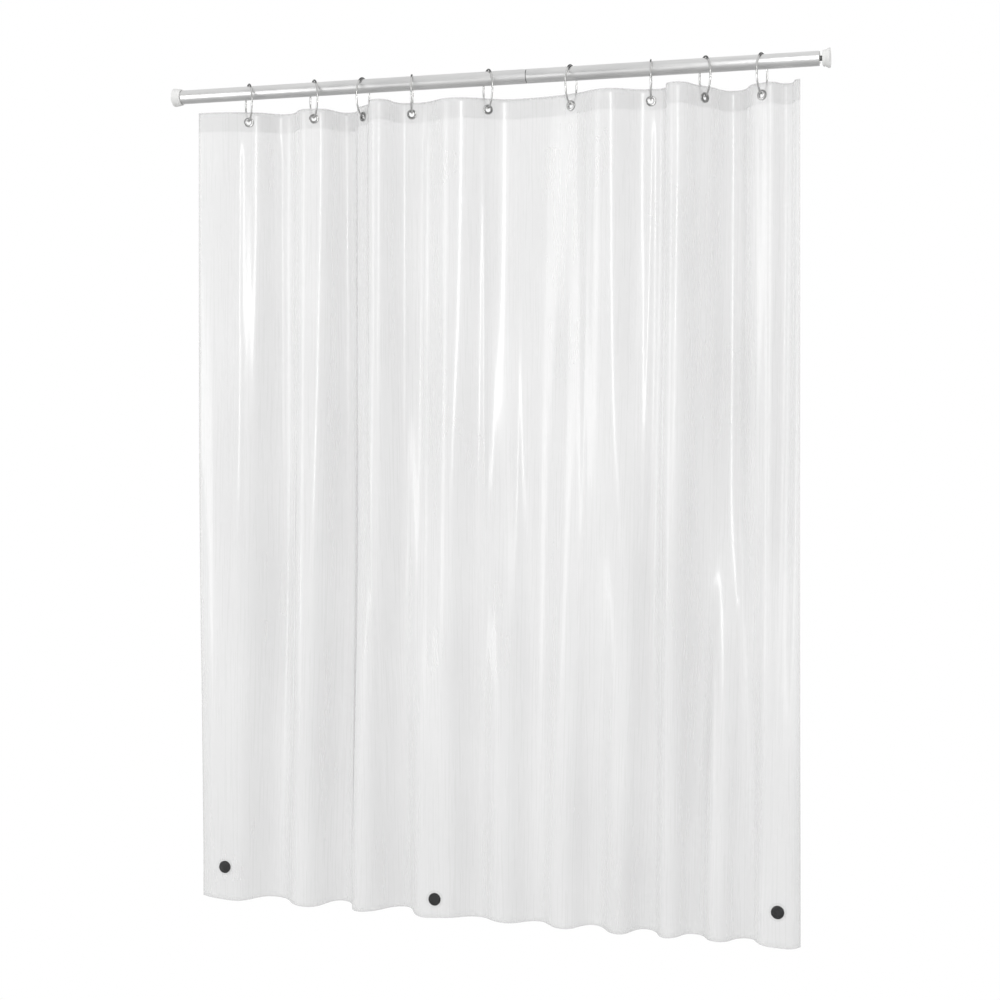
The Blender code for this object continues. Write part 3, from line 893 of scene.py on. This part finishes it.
@dataclass
class CurtainFilm:
    """The sheet of film, its header band and the welds that hold the band."""

    drape: Drape
    creases: Creases
    finishes: Finishes
    thickness: float = 0.0003
    columns: int = 336
    rows: int = 144
    hole: float = 0.0074
    hole_share: float = 0.95
    hem_wave: float = 0.0016
    hem_wave_long: float = 0.13
    hem_wave_tall: float = 0.05
    reach: float = 0.0006
    patch_flat: float = 0.021
    magnet_fade: float = 0.03
    eyelets_below: float = 0.026
    edge_gap: float = 0.0004
    weld_pitch: float = 0.004
    weld_points: int = 700
    low_weld: float = 0.0022
    high_weld: float = 0.0026
    band_gap: float = 0.00045
    band_rows: int = 8
    body: str = "curtain"
    joint: str = "curtain_draw"

    @staticmethod
    def graded(start: float, end: float, count: int, peaks: list[tuple[float, float, float]]) -> np.ndarray:
        """Places from start to end, closer together round each peak.

        Args:
            start: the first place.
            end: the last place.
            count: how many steps there are.
            peaks: (centre, half-width, how much closer) of each peak.

        Returns:
            count + 1 places.
        """
        fine = np.linspace(start, end, 6000)
        density = np.ones_like(fine)
        for centre, half, gain in peaks:
            density += gain * swelling(fine, centre, half)
        total = np.concatenate([[0.0], np.cumsum((density[1:] + density[:-1]) / 2)])
        return np.interp(np.linspace(0, total[-1], count + 1), total, fine)

    def column_places(self, count: int) -> np.ndarray:
        """Flat places of the film's columns."""
        drape = self.drape
        peaks = [(drape.eyelet_place(i), 0.014, 1.6) for i in range(len(drape.tilts))]
        peaks += [(place, 0.014, 1.2) for place in self.creases.crests]
        peaks += [(place, 0.024, 0.6) for _, place in drape.magnets]
        return self.graded(0.0, drape.width, count, peaks)

    def row_heights(self) -> np.ndarray:
        """Heights of the film's rows, from its foot to its top edge."""
        drape = self.drape
        peaks = [
            (drape.top - self.eyelets_below, 0.02, 2.4),
            (drape.straight - 0.28, 0.2, 1.1),
            (drape.straight - 0.75, 0.25, 1.1),
            (drape.foot + drape.hem_plumb / 2, 0.05, 1.0),
        ]
        return self.graded(drape.foot, drape.top, self.rows, peaks)

    def towards_bather(self, flat: np.ndarray, z: np.ndarray) -> np.ndarray:
        """Plan directions square to the plain film.

        Args:
            flat: places along the flat film.
            z: heights.

        Returns:
            The x and the y of each direction.
        """
        before = self.drape.plain(np.maximum(flat - self.reach, 0.0), z)
        after = self.drape.plain(np.minimum(flat + self.reach, self.drape.width), z)
        along = np.array([after[0] - before[0], after[1] - before[1]])
        along /= np.hypot(*along)
        return np.array([-along[1], along[0]])

    def place(self, flat: np.ndarray, z: np.ndarray, behind: float = 0.0) -> np.ndarray:
        """Points of the film, creases and magnets included.

        Args:
            flat: places along the flat film.
            z: heights.
            behind: how far the points are set back from the film, towards the bather.

        Returns:
            A row of x, y and z for each point.
        """
        drape = self.drape
        outwards = self.towards_bather(flat, z)
        x, y = np.array(drape.plain(flat, z)) + outwards * self.creases.height(flat, z)
        for name, place in drape.magnets:
            low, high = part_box(f"magnet_pocket_{name}")
            centre = (low + high) / 2
            near = np.hypot(flat - place, z - centre.z)
            pull = eased(1 - (near - self.patch_flat) / self.magnet_fade)
            x = x + (centre.x + (flat - place) - x) * pull
            y = y + (high.y + self.thickness - y) * pull
        lowest = np.clip(1 - (z - drape.foot) / self.hem_wave_tall, 0, 1)
        z = z + self.hem_wave * lowest * np.sin(flat * math.tau / self.hem_wave_long)
        return np.array([x + outwards[0] * behind, y + outwards[1] * behind, z]).T

    def grid_mesh(self, name: str, flat: np.ndarray, z: np.ndarray, behind: float = 0.0) -> bpy.types.Mesh:
        """Open surface of film with a UV map in metres and a round hole at each eyelet.

        Args:
            name: the mesh's name.
            flat: flat places of its columns.
            z: heights of its rows.
            behind: how far the surface lies behind the film's middle.

        Returns:
            The mesh.
        """
        drape = self.drape
        across, up = np.meshgrid(flat, z, indexing="ij")
        across, up = across.copy(), up.copy()
        keep = np.ones((len(flat) - 1, len(z) - 1), bool)
        middle_u = (across[1:, 1:] + across[:-1, :-1]) / 2
        middle_z = (up[1:, 1:] + up[:-1, :-1]) / 2
        for i, height in enumerate(drape.eyelet_heights):
            place = drape.eyelet_place(i)
            inside = np.hypot(middle_u - place, middle_z - height) < self.hole * self.hole_share
            keep &= ~inside
            touched = np.zeros(across.shape, bool)
            for a in (0, 1):
                for b in (0, 1):
                    touched[a:a + inside.shape[0], b:b + inside.shape[1]] |= inside
            du, dz = across[touched] - place, up[touched] - height
            far = np.maximum(np.hypot(du, dz), 1e-9)
            across[touched] = place + du / far * self.hole
            up[touched] = height + dz / far * self.hole
        points = self.place(across.ravel(), up.ravel(), behind)
        rows = len(z)
        work = bmesh.new()
        uv = work.loops.layers.uv.new("film")
        verts = [work.verts.new(point) for point in points]
        places = np.array([across.ravel(), up.ravel() - drape.foot]).T
        index = {vert: i for i, vert in enumerate(verts)}
        for i in range(len(flat) - 1):
            for j in range(rows - 1):
                if keep[i, j]:
                    corners = (i * rows + j, (i + 1) * rows + j, (i + 1) * rows + j + 1, i * rows + j + 1)
                    face = work.faces.new([verts[c] for c in corners])
                    face.smooth = True
                    for loop in face.loops:
                        loop[uv].uv = places[index[loop.vert]]
        loose = [vert for vert in work.verts if not vert.link_faces]
        bmesh.ops.delete(work, geom=loose, context="VERTS")
        return meshed(name, work)

    def thicken(self, piece: bpy.types.Object) -> bpy.types.Object:
        """Give an open surface the film's thickness, and settle it."""
        wall = piece.modifiers.new("film", "SOLIDIFY")
        wall.thickness = self.thickness
        wall.offset = 0.0
        return settle(piece)

    def build_sheet(self) -> bpy.types.Object:
        """Make the one continuous sheet."""
        mesh = self.grid_mesh("sheet", self.column_places(self.columns), self.row_heights())
        return self.thicken(add_piece("curtain_sheet", mesh, self.finishes.film))

    def build_band(self) -> bpy.types.Object:
        """Make the second layer that is welded behind the top edge."""
        drape = self.drape
        peaks = [(drape.top - self.eyelets_below, 0.012, 1.0)]
        start, end = drape.top - drape.band_height, drape.top - self.edge_gap
        heights = self.graded(start, end, self.band_rows, peaks)
        mesh = self.grid_mesh("band", self.column_places(self.columns), heights, self.band_gap)
        return self.thicken(add_piece("header_band", mesh, self.finishes.band))

    def weld_tree(self) -> NodeForm:
        """Tree that sets short pressed ribs side by side along a seam."""
        form = NodeForm("weld_ribs", {"Pitch": 0.004, "Long": 0.0024, "Tall": 0.0012, "Proud": 0.0004})
        geometry = form.tree.interface.new_socket("Seam", in_out="INPUT", socket_type="NodeSocketGeometry")
        form.tree.interface.move(geometry, 0)
        line = form.add("GeometryNodeMeshToCurve", Mesh=form.given.outputs["Seam"])
        spaced = form.add(
            "GeometryNodeResampleCurve", mode="LENGTH", Curve=line.outputs[0], Length=form.size("Pitch"),
        )
        size = form.vector(form.size("Long"), form.size("Proud"), form.size("Tall"))
        rib = form.add("GeometryNodeMeshCube", Size=size)
        tangent = form.add("GeometryNodeInputTangent")
        turn = form.add("FunctionNodeAlignRotationToVector", axis="X", Vector=tangent.outputs[0])
        ribs = form.add(
            "GeometryNodeInstanceOnPoints", Points=spaced.outputs[0], Instance=rib.outputs[0],
            Rotation=turn.outputs[0],
        )
        form.close(ribs.outputs[0])
        return form

    def build_welds(self) -> bpy.types.Object:
        """Make the pressed ribs of the weld, along the band's lower edge and along the top edge."""
        drape = self.drape
        work = bmesh.new()
        flat = np.linspace(self.weld_pitch, drape.width - self.weld_pitch, self.weld_points)
        for height in (drape.top - drape.band_height + self.low_weld, drape.top - self.high_weld):
            points = self.place(flat, np.full_like(flat, height), self.band_gap + self.thickness / 2)
            verts = [work.verts.new(point) for point in points]
            for pair in zip(verts, verts[1:]):
                work.edges.new(pair)
        seam = meshed("seam", work)
        return self.weld_tree().run("header_welds", self.finishes.band, seam, Pitch=self.weld_pitch)

    def make(self) -> list[bpy.types.Object]:
        """Build the film's pieces and tie them to the frame.

        Returns:
            The sheet, the band and the welds.
        """
        drape = self.drape
        sheet, band, welds = self.build_sheet(), self.build_band(), self.build_welds()
        for piece, slot in ((sheet, "film"), (band, "band_film"), (welds, "band_film")):
            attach(piece, self.body)
            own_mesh(piece)
        count = range(1, len(drape.tilts) + 1)
        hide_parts(*[f"sheet_{i}" for i in count])
        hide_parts(*[f"header_band_{i}" for i in count])
        return [sheet, band, welds]


# ---------------------------------------------------------------- rings and eyelets

@dataclass
class Hangers:
    """The oval wire rings, and the eyelets that they pass through."""

    drape: Drape
    finishes: Finishes
    twists: tuple = (38, 38, -8, 16, 36, -10, 10, 32, -14)
    wire: float = 0.0044
    width: float = 0.0644
    gate: float = 0.0006
    gate_at: float = -35.0
    bore: float = 0.006
    barrel: float = 0.0067
    rim: float = 0.011
    front: float = 0.0018
    back: float = 0.0039
    facets: int = 64

    def body(self, index: int) -> str:
        """Name of the body that a hanger rides on."""
        return "curtain" if index == 0 else f"hanger_{index + 1}"

    def ring_tree(self) -> NodeForm:
        """Tree that sweeps a wire round an oval, with a gate where its two rounded ends meet."""
        sizes = {
            "Across": 0.03, "Tall": 0.0428, "Wire": 0.0022, "Gate": 0.01, "Gate At": -0.6,
            "Twist": 0.0, "Place": 0.0, "Height": 0.0,
        }
        form = NodeForm("wire_ring", sizes)
        sweep = form.math("SUBTRACT", math.tau, form.size("Gate"))
        start = form.math("ADD", form.size("Gate At"), form.math("MULTIPLY", form.size("Gate"), 0.5))
        arc = form.add(
            "GeometryNodeCurveArc", mode="RADIUS", Resolution=120, Radius=1.0, Start_Angle=start,
            Sweep_Angle=sweep,
        )
        oval = form.add(
            "GeometryNodeTransform", Geometry=arc.outputs[0],
            Scale=form.vector(form.size("Across"), form.size("Tall"), 1.0),
        )
        upright = form.add(
            "GeometryNodeTransform", Geometry=oval.outputs[0],
            Rotation=form.vector(math.pi / 2, 0.0, math.pi / 2),
        )
        spline = form.add("GeometryNodeSplineParameter")
        length = form.add("GeometryNodeSplineLength")
        from_end = form.math("SUBTRACT", length.outputs["Length"], spline.outputs["Length"])
        near = form.math("MINIMUM", spline.outputs["Length"], from_end)
        share = form.math("MINIMUM", form.math("DIVIDE", near, form.size("Wire")), 1.0)
        left = form.math("SUBTRACT", 1.0, share)
        nose = form.math("SQRT", form.math("SUBTRACT", 1.0, form.math("MULTIPLY", left, left)))
        nosed = form.math("MAXIMUM", nose, 0.45)
        profile = form.add(
            "GeometryNodeCurvePrimitiveCircle", mode="RADIUS", Resolution=18, Radius=form.size("Wire"),
        )
        sized = form.add("GeometryNodeSetCurveRadius", Curve=upright.outputs[0], Radius=nosed)
        swept = form.add(
            "GeometryNodeCurveToMesh", Curve=sized.outputs[0], Profile_Curve=profile.outputs[0],
            Fill_Caps=True,
        )
        if "Scale" in swept.inputs:
            form.feed(nosed, swept.inputs["Scale"])
        soft = form.add("GeometryNodeSetShadeSmooth", Geometry=swept.outputs[0])
        put = form.add(
            "GeometryNodeTransform", Geometry=soft.outputs[0],
            Rotation=form.vector(0.0, 0.0, form.size("Twist")),
            Translation=form.vector(form.size("Place"), 0.0, form.size("Height")),
        )
        form.close(put.outputs[0])
        return form

    def eyelet_profile(self) -> list[tuple[float, float]]:
        """Outline of the eyelet: crowned flange to the room, barrel, and rolled end to the bather."""
        seat = 0.0003
        return rounded([
            (self.bore, self.back, 0.0004), (self.barrel + 0.0013, self.back, 0.0005),
            (self.barrel + 0.0013, self.back - 0.0007, 0.0002), (self.barrel, self.back - 0.0007, 0.0),
            (self.barrel, -seat, 0.0), (self.rim, -seat, 0.0003), (self.rim, -self.front * 0.62, 0.0007),
            (self.rim - 0.0016, -self.front, 0.0012), (self.bore, -self.front, 0.0009),
        ])

    def washer_profile(self) -> list[tuple[float, float]]:
        """Outline of the washer behind the film, dished towards it."""
        inner = self.barrel + 0.0003
        back = self.back - 0.0010
        front = 0.0010
        return rounded([
            (self.rim, back - 0.0006, 0.0004), (self.rim, front, 0.0003), (inner, front, 0.0),
            (inner, back, 0.0002), (self.rim - 0.0022, back, 0.0010),
        ])

    def seat(self, index: int) -> Matrix:
        """Place of an eyelet, with its own Z axis pointing back through the film."""
        turn = Matrix.Rotation(math.radians(self.drape.tilts[index]), 4, "Z")
        lay = Matrix.Rotation(-math.pi / 2, 4, "X")
        height = self.drape.eyelet_heights[index]
        return Matrix.Translation((self.drape.rings[index], 0, height)) @ turn @ lay

    def make(self) -> list[bpy.types.Object]:
        """Build each hanger's ring, eyelet and washer on its own body.

        Returns:
            Every piece made.
        """
        made = []
        tree = self.ring_tree()
        for i, twist in enumerate(self.twists):
            low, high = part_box(f"ring_{i + 1}")
            across = (self.width - self.wire) / 2
            ring = tree.run(
                f"wire_ring_{i + 1}", self.finishes.wire,
                Across=across, Tall=(high.z - low.z - self.wire) / 2, Wire=self.wire / 2,
                Gate=self.gate / across, Gate_At=math.radians(self.gate_at), Twist=math.radians(twist),
                Place=self.drape.rings[i], Height=(high.z + low.z) / 2,
            )
            smooth(ring.data, 60.0)
            front = lathe(self.eyelet_profile(), self.facets, self.seat(i))
            back = lathe(self.washer_profile(), self.facets, self.seat(i))
            eyelet = add_piece(f"eyelet_front_{i + 1}", front, self.finishes.eyelet)
            washer = add_piece(f"eyelet_back_{i + 1}", back, self.finishes.eyelet)
            made += [
                stand_in(ring, self.body(i), f"ring_{i + 1}"),
                stand_in(eyelet, self.body(i), f"eyelet_{i + 1}"),
                stand_in(washer, self.body(i), f"eyelet_washer_{i + 1}"),
            ]
        return made


# ---------------------------------------------------------------- magnets

@dataclass
class Weights:
    """The disc magnets near the hem, each under a round patch of film welded to the sheet."""

    drape: Drape
    finishes: Finishes
    patch_film: float = 0.0004
    weld_width: float = 0.0022
    lid_gap: float = 0.00025
    facets: int = 72

    def make(self) -> list[bpy.types.Object]:
        """Build each magnet and its patch on its own body.

        Returns:
            Every piece made.
        """
        made = []
        for name, _ in self.drape.magnets:
            low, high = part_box(f"magnet_{name}")
            patch_low, patch_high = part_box(f"magnet_pocket_{name}")
            centre = (low + high) / 2
            back = patch_high.y
            radius = (high.z - low.z) / 2
            brim = (patch_high.z - patch_low.z) / 2
            lay = Matrix.Translation((centre.x, back, centre.z)) @ Matrix.Rotation(math.pi / 2, 4, "X")
            near, far = back - high.y, back - low.y
            disc = rounded([
                (0.0, near, 0.0), (radius, near, 0.0005), (radius, far, 0.0008), (0.0, far, 0.0),
            ])
            magnet = add_piece(f"disc_magnet_{name}", lathe(disc, self.facets, lay), self.finishes.magnet)
            lid = far + self.lid_gap
            film = self.patch_film
            cup = rounded([
                (0.0, lid + film, 0.0), (radius + 0.0002, lid + film, 0.0012),
                (radius + 0.0012, film * 1.6, 0.0010), (brim - self.weld_width, film * 1.2, 0.0),
                (brim - self.weld_width * 0.7, film * 2.0, 0.0002),
                (brim - self.weld_width * 0.3, film * 2.0, 0.0002),
                (brim, film, 0.0), (brim, 0.0, 0.0),
                (radius + 0.0006, 0.0, 0.0005), (radius + 0.0002, lid, 0.0004), (0.0, lid, 0.0),
            ])
            patch = add_piece(f"magnet_patch_{name}", lathe(cup, self.facets, lay), self.finishes.pocket)
            made += [
                stand_in(magnet, f"{name}_magnet", f"magnet_{name}"),
                stand_in(patch, f"{name}_magnet", f"magnet_pocket_{name}"),
            ]
        return made


# ---------------------------------------------------------------- rod

@dataclass
class Rod:
    """The two tubes, their feet and the jack that clamps the rod between the walls."""

    finishes: Finishes
    facets: int = 128
    tube_wall: float = 0.0008
    end_gap: float = 0.0007
    lip_wall: float = 0.0025
    pad: float = 0.004
    spindle: float = 0.006
    flank: float = 0.0008
    clearance: float = 0.0003
    thread_pitch: float = 0.002

    @staticmethod
    def along(x: float) -> Matrix:
        """Placement that lays a turned piece's axis along the rod, from x onwards."""
        return Matrix.Translation((x, 0, 0)) @ Matrix.Rotation(math.pi / 2, 4, "Y")

    def tube(self, node: str, name: str) -> bpy.types.Object:
        """A plain tube with softened ends, where a CAD node is."""
        low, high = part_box(node)
        outer = (high.z - low.z) / 2
        inner = outer - self.tube_wall
        length = high.x - low.x
        soft = self.tube_wall * 0.3
        start, end = self.end_gap, length - self.end_gap
        corners = [(outer, end, soft), (outer, start, soft), (inner, start, soft), (inner, end, soft)]
        outline = rounded(corners, 3)
        piece = add_piece(name, lathe(outline, self.facets, self.along(low.x)), self.finishes.rod)
        return stand_in(piece, "rod", node)

    def left_foot(self) -> bpy.types.Object:
        """The rubber cup on the fixed end, with two shallow grips round it."""
        low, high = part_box("rod_foot_left")
        tube_low, tube_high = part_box("rod_tube_left")
        rim = (high.z - low.z) / 2
        socket = (tube_high.z - tube_low.z) / 2 + self.clearance
        web = tube_low.x - self.clearance
        lip = high.x
        outline = rounded([
            (0, web, 0), (socket, web, 0.0003), (socket, lip, 0.0004), (socket + self.lip_wall, lip, 0.0009),
            (socket + self.lip_wall + 0.0002, lip - 0.0042, 0.0006),
            (socket + self.lip_wall + 0.0009, lip - 0.0050, 0.0006),
            (socket + self.lip_wall + 0.0009, lip - 0.0068, 0.0006),
            (rim, self.pad, 0.0016), (rim, 0, 0.0008), (0, 0, 0),
        ])
        cup = lathe(outline, self.facets, self.along(0.0))
        piece = add_piece("rubber_foot_left", cup, self.finishes.rubber)
        return stand_in(piece, "rod", "rod_foot_left")

    def right_foot(self) -> bpy.types.Object:
        """The rubber foot on the jack's spindle."""
        low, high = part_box("rod_foot_right")
        rim = (high.z - low.z) / 2
        depth = high.x - low.x
        hole = self.spindle + self.clearance
        outline = rounded([
            (0, depth, 0), (rim, depth, 0.0008), (rim, depth - self.pad, 0.0016),
            (rim - 0.0038, 0.0052, 0.0006), (rim - 0.0030, 0.0040, 0.0006), (rim - 0.0048, 0.0, 0.0012),
            (hole, 0, 0.0003), (hole, depth / 2, 0), (0, depth / 2, 0),
        ])
        cup = lathe(outline, self.facets, self.along(low.x))
        piece = add_piece("rubber_foot_right", cup, self.finishes.rubber)
        return stand_in(piece, "rod_jack", "rod_foot_right")

    def thread_tree(self) -> NodeForm:
        """Tree that cuts a screw's flanks: a spiral ridge on a round core."""
        sizes = {"Core": 0.0052, "Flank": 0.0008, "Pitch": 0.002, "Long": 0.07, "Start": 0.0}
        form = NodeForm("jack_thread", sizes)
        spiral = form.add(
            "GeometryNodeCurveSpiral", Resolution=28, Start_Radius=form.size("Core"),
            End_Radius=form.size("Core"), Height=form.size("Long"),
            Rotations=form.math("DIVIDE", form.size("Long"), form.size("Pitch")),
        )
        profile = form.add(
            "GeometryNodeCurvePrimitiveCircle", mode="RADIUS", Resolution=4, Radius=form.size("Flank"),
        )
        ridge = form.add(
            "GeometryNodeCurveToMesh", Curve=spiral.outputs[0], Profile_Curve=profile.outputs[0],
            Fill_Caps=True,
        )
        core = form.add(
            "GeometryNodeMeshCylinder", Vertices=48, Depth=form.size("Long"),
            Radius=form.math("ADD", form.size("Core"), 0.0001),
        )
        lifted = form.add(
            "GeometryNodeTransform", Geometry=core.outputs[0],
            Translation=form.vector(0.0, 0.0, form.math("MULTIPLY", form.size("Long"), 0.5)),
        )
        both = form.tree.nodes.new("GeometryNodeJoinGeometry")
        form.feed(ridge.outputs[0], both.inputs[0])
        form.feed(lifted.outputs[0], both.inputs[0])
        laid = form.add(
            "GeometryNodeTransform", Geometry=both.outputs[0],
            Rotation=form.vector(0.0, math.pi / 2, 0.0),
            Translation=form.vector(form.size("Start"), 0.0, 0.0),
        )
        form.close(laid.outputs[0])
        return form

    def jack(self) -> bpy.types.Object:
        """The threaded spindle that winds out of the right-hand tube."""
        low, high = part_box("rod_jack_spindle")
        piece = self.thread_tree().run(
            "threaded_spindle", self.finishes.steel,
            Core=self.spindle - self.flank, Flank=self.flank, Pitch=self.thread_pitch,
            Long=high.x - low.x, Start=low.x,
        )
        smooth(piece.data, 30.0)
        return stand_in(piece, "rod_jack", "rod_jack_spindle")

    def dress_inner(self) -> None:
        """Give the sleeve and the two plugs, which the tubes hide, their own finishes."""
        for node, finish in (
            ("rod_joint_sleeve", self.finishes.steel),
            ("rod_plug_left", self.finishes.plastic),
            ("rod_plug_right", self.finishes.plastic),
        ):
            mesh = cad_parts[node].data
            mesh.materials.clear()
            mesh.materials.append(finish)

    def make(self) -> list[bpy.types.Object]:
        """Build the rod's visible pieces.

        Returns:
            Every piece made.
        """
        tubes = [self.tube(f"rod_tube_{end}", f"satin_tube_{end}") for end in ("left", "right")]
        self.dress_inner()
        return [*tubes, self.left_foot(), self.right_foot(), self.jack()]


# ---------------------------------------------------------------- studio

@dataclass(frozen=True)
class SoftBox:
    """An upright soft light: degrees round the curtain, metres from it, its edges, width and watts."""

    name: str
    turn: float
    distance: float
    low: float
    high: float
    wide: float
    power: float


@dataclass
class Studio:
    """Plain pale floor, soft light and the camera."""

    aim_x: float = 0.7994
    turn: float = 16.46
    distance: float = 3.78
    eye: float = -0.785
    lens: float = 61.2
    shift: float = -0.069
    floor_gap: float = 0.10
    floor_radius: float = 60.0
    dim_near: float = 2.0
    dim_far: float = 6.0
    floor_tones: tuple = (0.50, 0.90)
    sky_tones: tuple = ((0.0, 0.20), (0.50, 0.20), (0.53, 0.18), (0.60, 0.45), (0.75, 0.78), (1.0, 0.92))
    backdrop_tone: float = 0.95
    backdrop_from: float = 0.25
    backdrop_full: float = 0.75
    see_through: int = 64
    lamps: tuple = (
        SoftBox("key", turn=19.5, distance=5.0, low=-1.0, high=2.4, wide=0.6, power=85.0),
        SoftBox("left_fill", turn=-48.0, distance=4.5, low=-1.9, high=0.8, wide=1.6, power=48.0),
        SoftBox("back_rim", turn=165.0, distance=4.5, low=-0.5, high=2.5, wide=1.4, power=40.0),
    )

    def floor(self) -> None:
        """A wide pale floor a little under the curtain's foot, with a dimmer patch in what it lights."""
        work = bmesh.new()
        bmesh.ops.create_circle(work, cap_ends=True, cap_tris=True, segments=96, radius=self.floor_radius)
        work.transform(Matrix.Translation((self.aim_x, 0, CAD_BOX[0].z - self.floor_gap)))
        sheet = NodeSheet("pale_floor")
        out = sheet.add(
            "ShaderNodeVectorMath", operation="LENGTH", Vector=sheet.stretched("Object", (1.0, 1.0, 0.0)),
        )
        tone = sheet.add(
            "ShaderNodeMapRange", From_Min=self.dim_near, From_Max=self.dim_far,
            To_Min=self.floor_tones[0], To_Max=self.floor_tones[1], Value=out.outputs["Value"],
        )
        paint = sheet.add("ShaderNodeBsdfDiffuse", Color=tone.outputs[0])
        glow = sheet.add("ShaderNodeEmission", Color=(1.0, 1.0, 1.0, 1.0), Strength=1.0)
        sight = sheet.add("ShaderNodeLightPath").outputs["Is Camera Ray"]
        finish = sheet.finish(sheet.mixed(sight, paint, glow))
        add_piece("floor", meshed("floor", work), finish)

    def stand(self, thing: bpy.types.Object, turn: float, distance: float, height: float) -> None:
        """Stand a lamp or the camera round the curtain, level and facing its middle.

        Args:
            thing: what to stand there.
            turn: degrees round the curtain from straight before it.
            distance: how far it is from the curtain's middle.
            height: its height.
        """
        bpy.context.scene.collection.objects.link(thing)
        angle = math.radians(turn)
        thing.location = (self.aim_x + math.sin(angle) * distance, -math.cos(angle) * distance, height)
        thing.rotation_euler = (math.pi / 2, 0, angle)

    def light(self, box: SoftBox) -> None:
        """Light a soft box that faces the curtain's middle."""
        data = bpy.data.lights.new(box.name, "AREA")
        data.shape = "RECTANGLE"
        data.size, data.size_y = box.wide, box.high - box.low
        data.energy = box.power
        lamp = bpy.data.objects.new(box.name, data)
        self.stand(lamp, box.turn, box.distance, (box.low + box.high) / 2)

    def sky(self) -> None:
        """White behind everything, and a soft grey room with a darker middle in what it lights."""
        world = bpy.data.worlds.new("studio")
        bpy.context.scene.world = world
        world.use_nodes = True
        tree = NodeTree(world.node_tree)
        space = tree.add("ShaderNodeTexCoord")
        parts = tree.add("ShaderNodeSeparateXYZ", Vector=space.outputs["Generated"])
        level = tree.add("ShaderNodeMapRange", From_Min=-1.0, Value=parts.outputs["Z"])
        ramp = tree.add("ShaderNodeValToRGB", Fac=level.outputs[0])
        elements = ramp.color_ramp.elements
        elements[0].position = self.sky_tones[0][0]
        elements[1].position = self.sky_tones[-1][0]
        for place, _ in self.sky_tones[1:-1]:
            elements.new(place)
        for element, (_, tone) in zip(elements, self.sky_tones):
            element.color = (tone, tone, tone, 1.0)
        room = tree.add("ShaderNodeBackground", Color=ramp.outputs[0])
        backdrop = tree.add("ShaderNodeBackground", Color=(*(self.backdrop_tone,) * 3, 1.0))
        ahead = tree.add(
            "ShaderNodeMapRange", From_Min=self.backdrop_from, From_Max=self.backdrop_full,
            Value=parts.outputs["Y"],
        )
        lit = tree.mixed(ahead.outputs[0], room, backdrop)
        seen = tree.add("ShaderNodeBackground", Color=(1.0, 1.0, 1.0, 1.0))
        sight = tree.add("ShaderNodeLightPath").outputs["Is Camera Ray"]
        tree.add("ShaderNodeOutputWorld", Surface=tree.mixed(sight, lit, seen).outputs[0])

    def camera(self) -> None:
        """The camera, level, a little to the right of straight before the curtain."""
        data = bpy.data.cameras.new("camera")
        data.lens = self.lens
        data.shift_y = self.shift
        camera = bpy.data.objects.new("camera", data)
        self.stand(camera, self.turn, self.distance, self.eye)
        bpy.context.scene.camera = camera

    def make(self) -> None:
        """Set up the whole studio."""
        self.floor()
        self.sky()
        for lamp in self.lamps:
            self.light(lamp)
        self.camera()
        scene = bpy.context.scene
        scene.view_settings.view_transform = "Standard"
        scene.cycles.transparent_max_bounces = self.see_through


# ---------------------------------------------------------------- main

def report(name: str, made: list[bpy.types.Object]) -> None:
    """Log each piece of a sub-assembly with its triangle count.

    Args:
        name: the sub-assembly.
        made: its pieces.
    """
    for piece in made:
        piece.data.calc_loop_triangles()
        LOG.info("%s: %s, %d triangles", name, piece.name, len(piece.data.loop_triangles))


def main() -> None:
    """Build every sub-assembly in order, then the studio."""
    logging.basicConfig(level=logging.INFO, format="%(message)s")
    finishes = Finishes()
    drape = Drape()
    report("rod", Rod(finishes).make())
    report("hangers", Hangers(drape, finishes).make())
    report("film", CurtainFilm(drape, Creases(drape), finishes).make())
    report("weights", Weights(drape, finishes).make())
    Studio().make()
    bpy.context.view_layer.update()


if __name__ == "__main__":
    main()
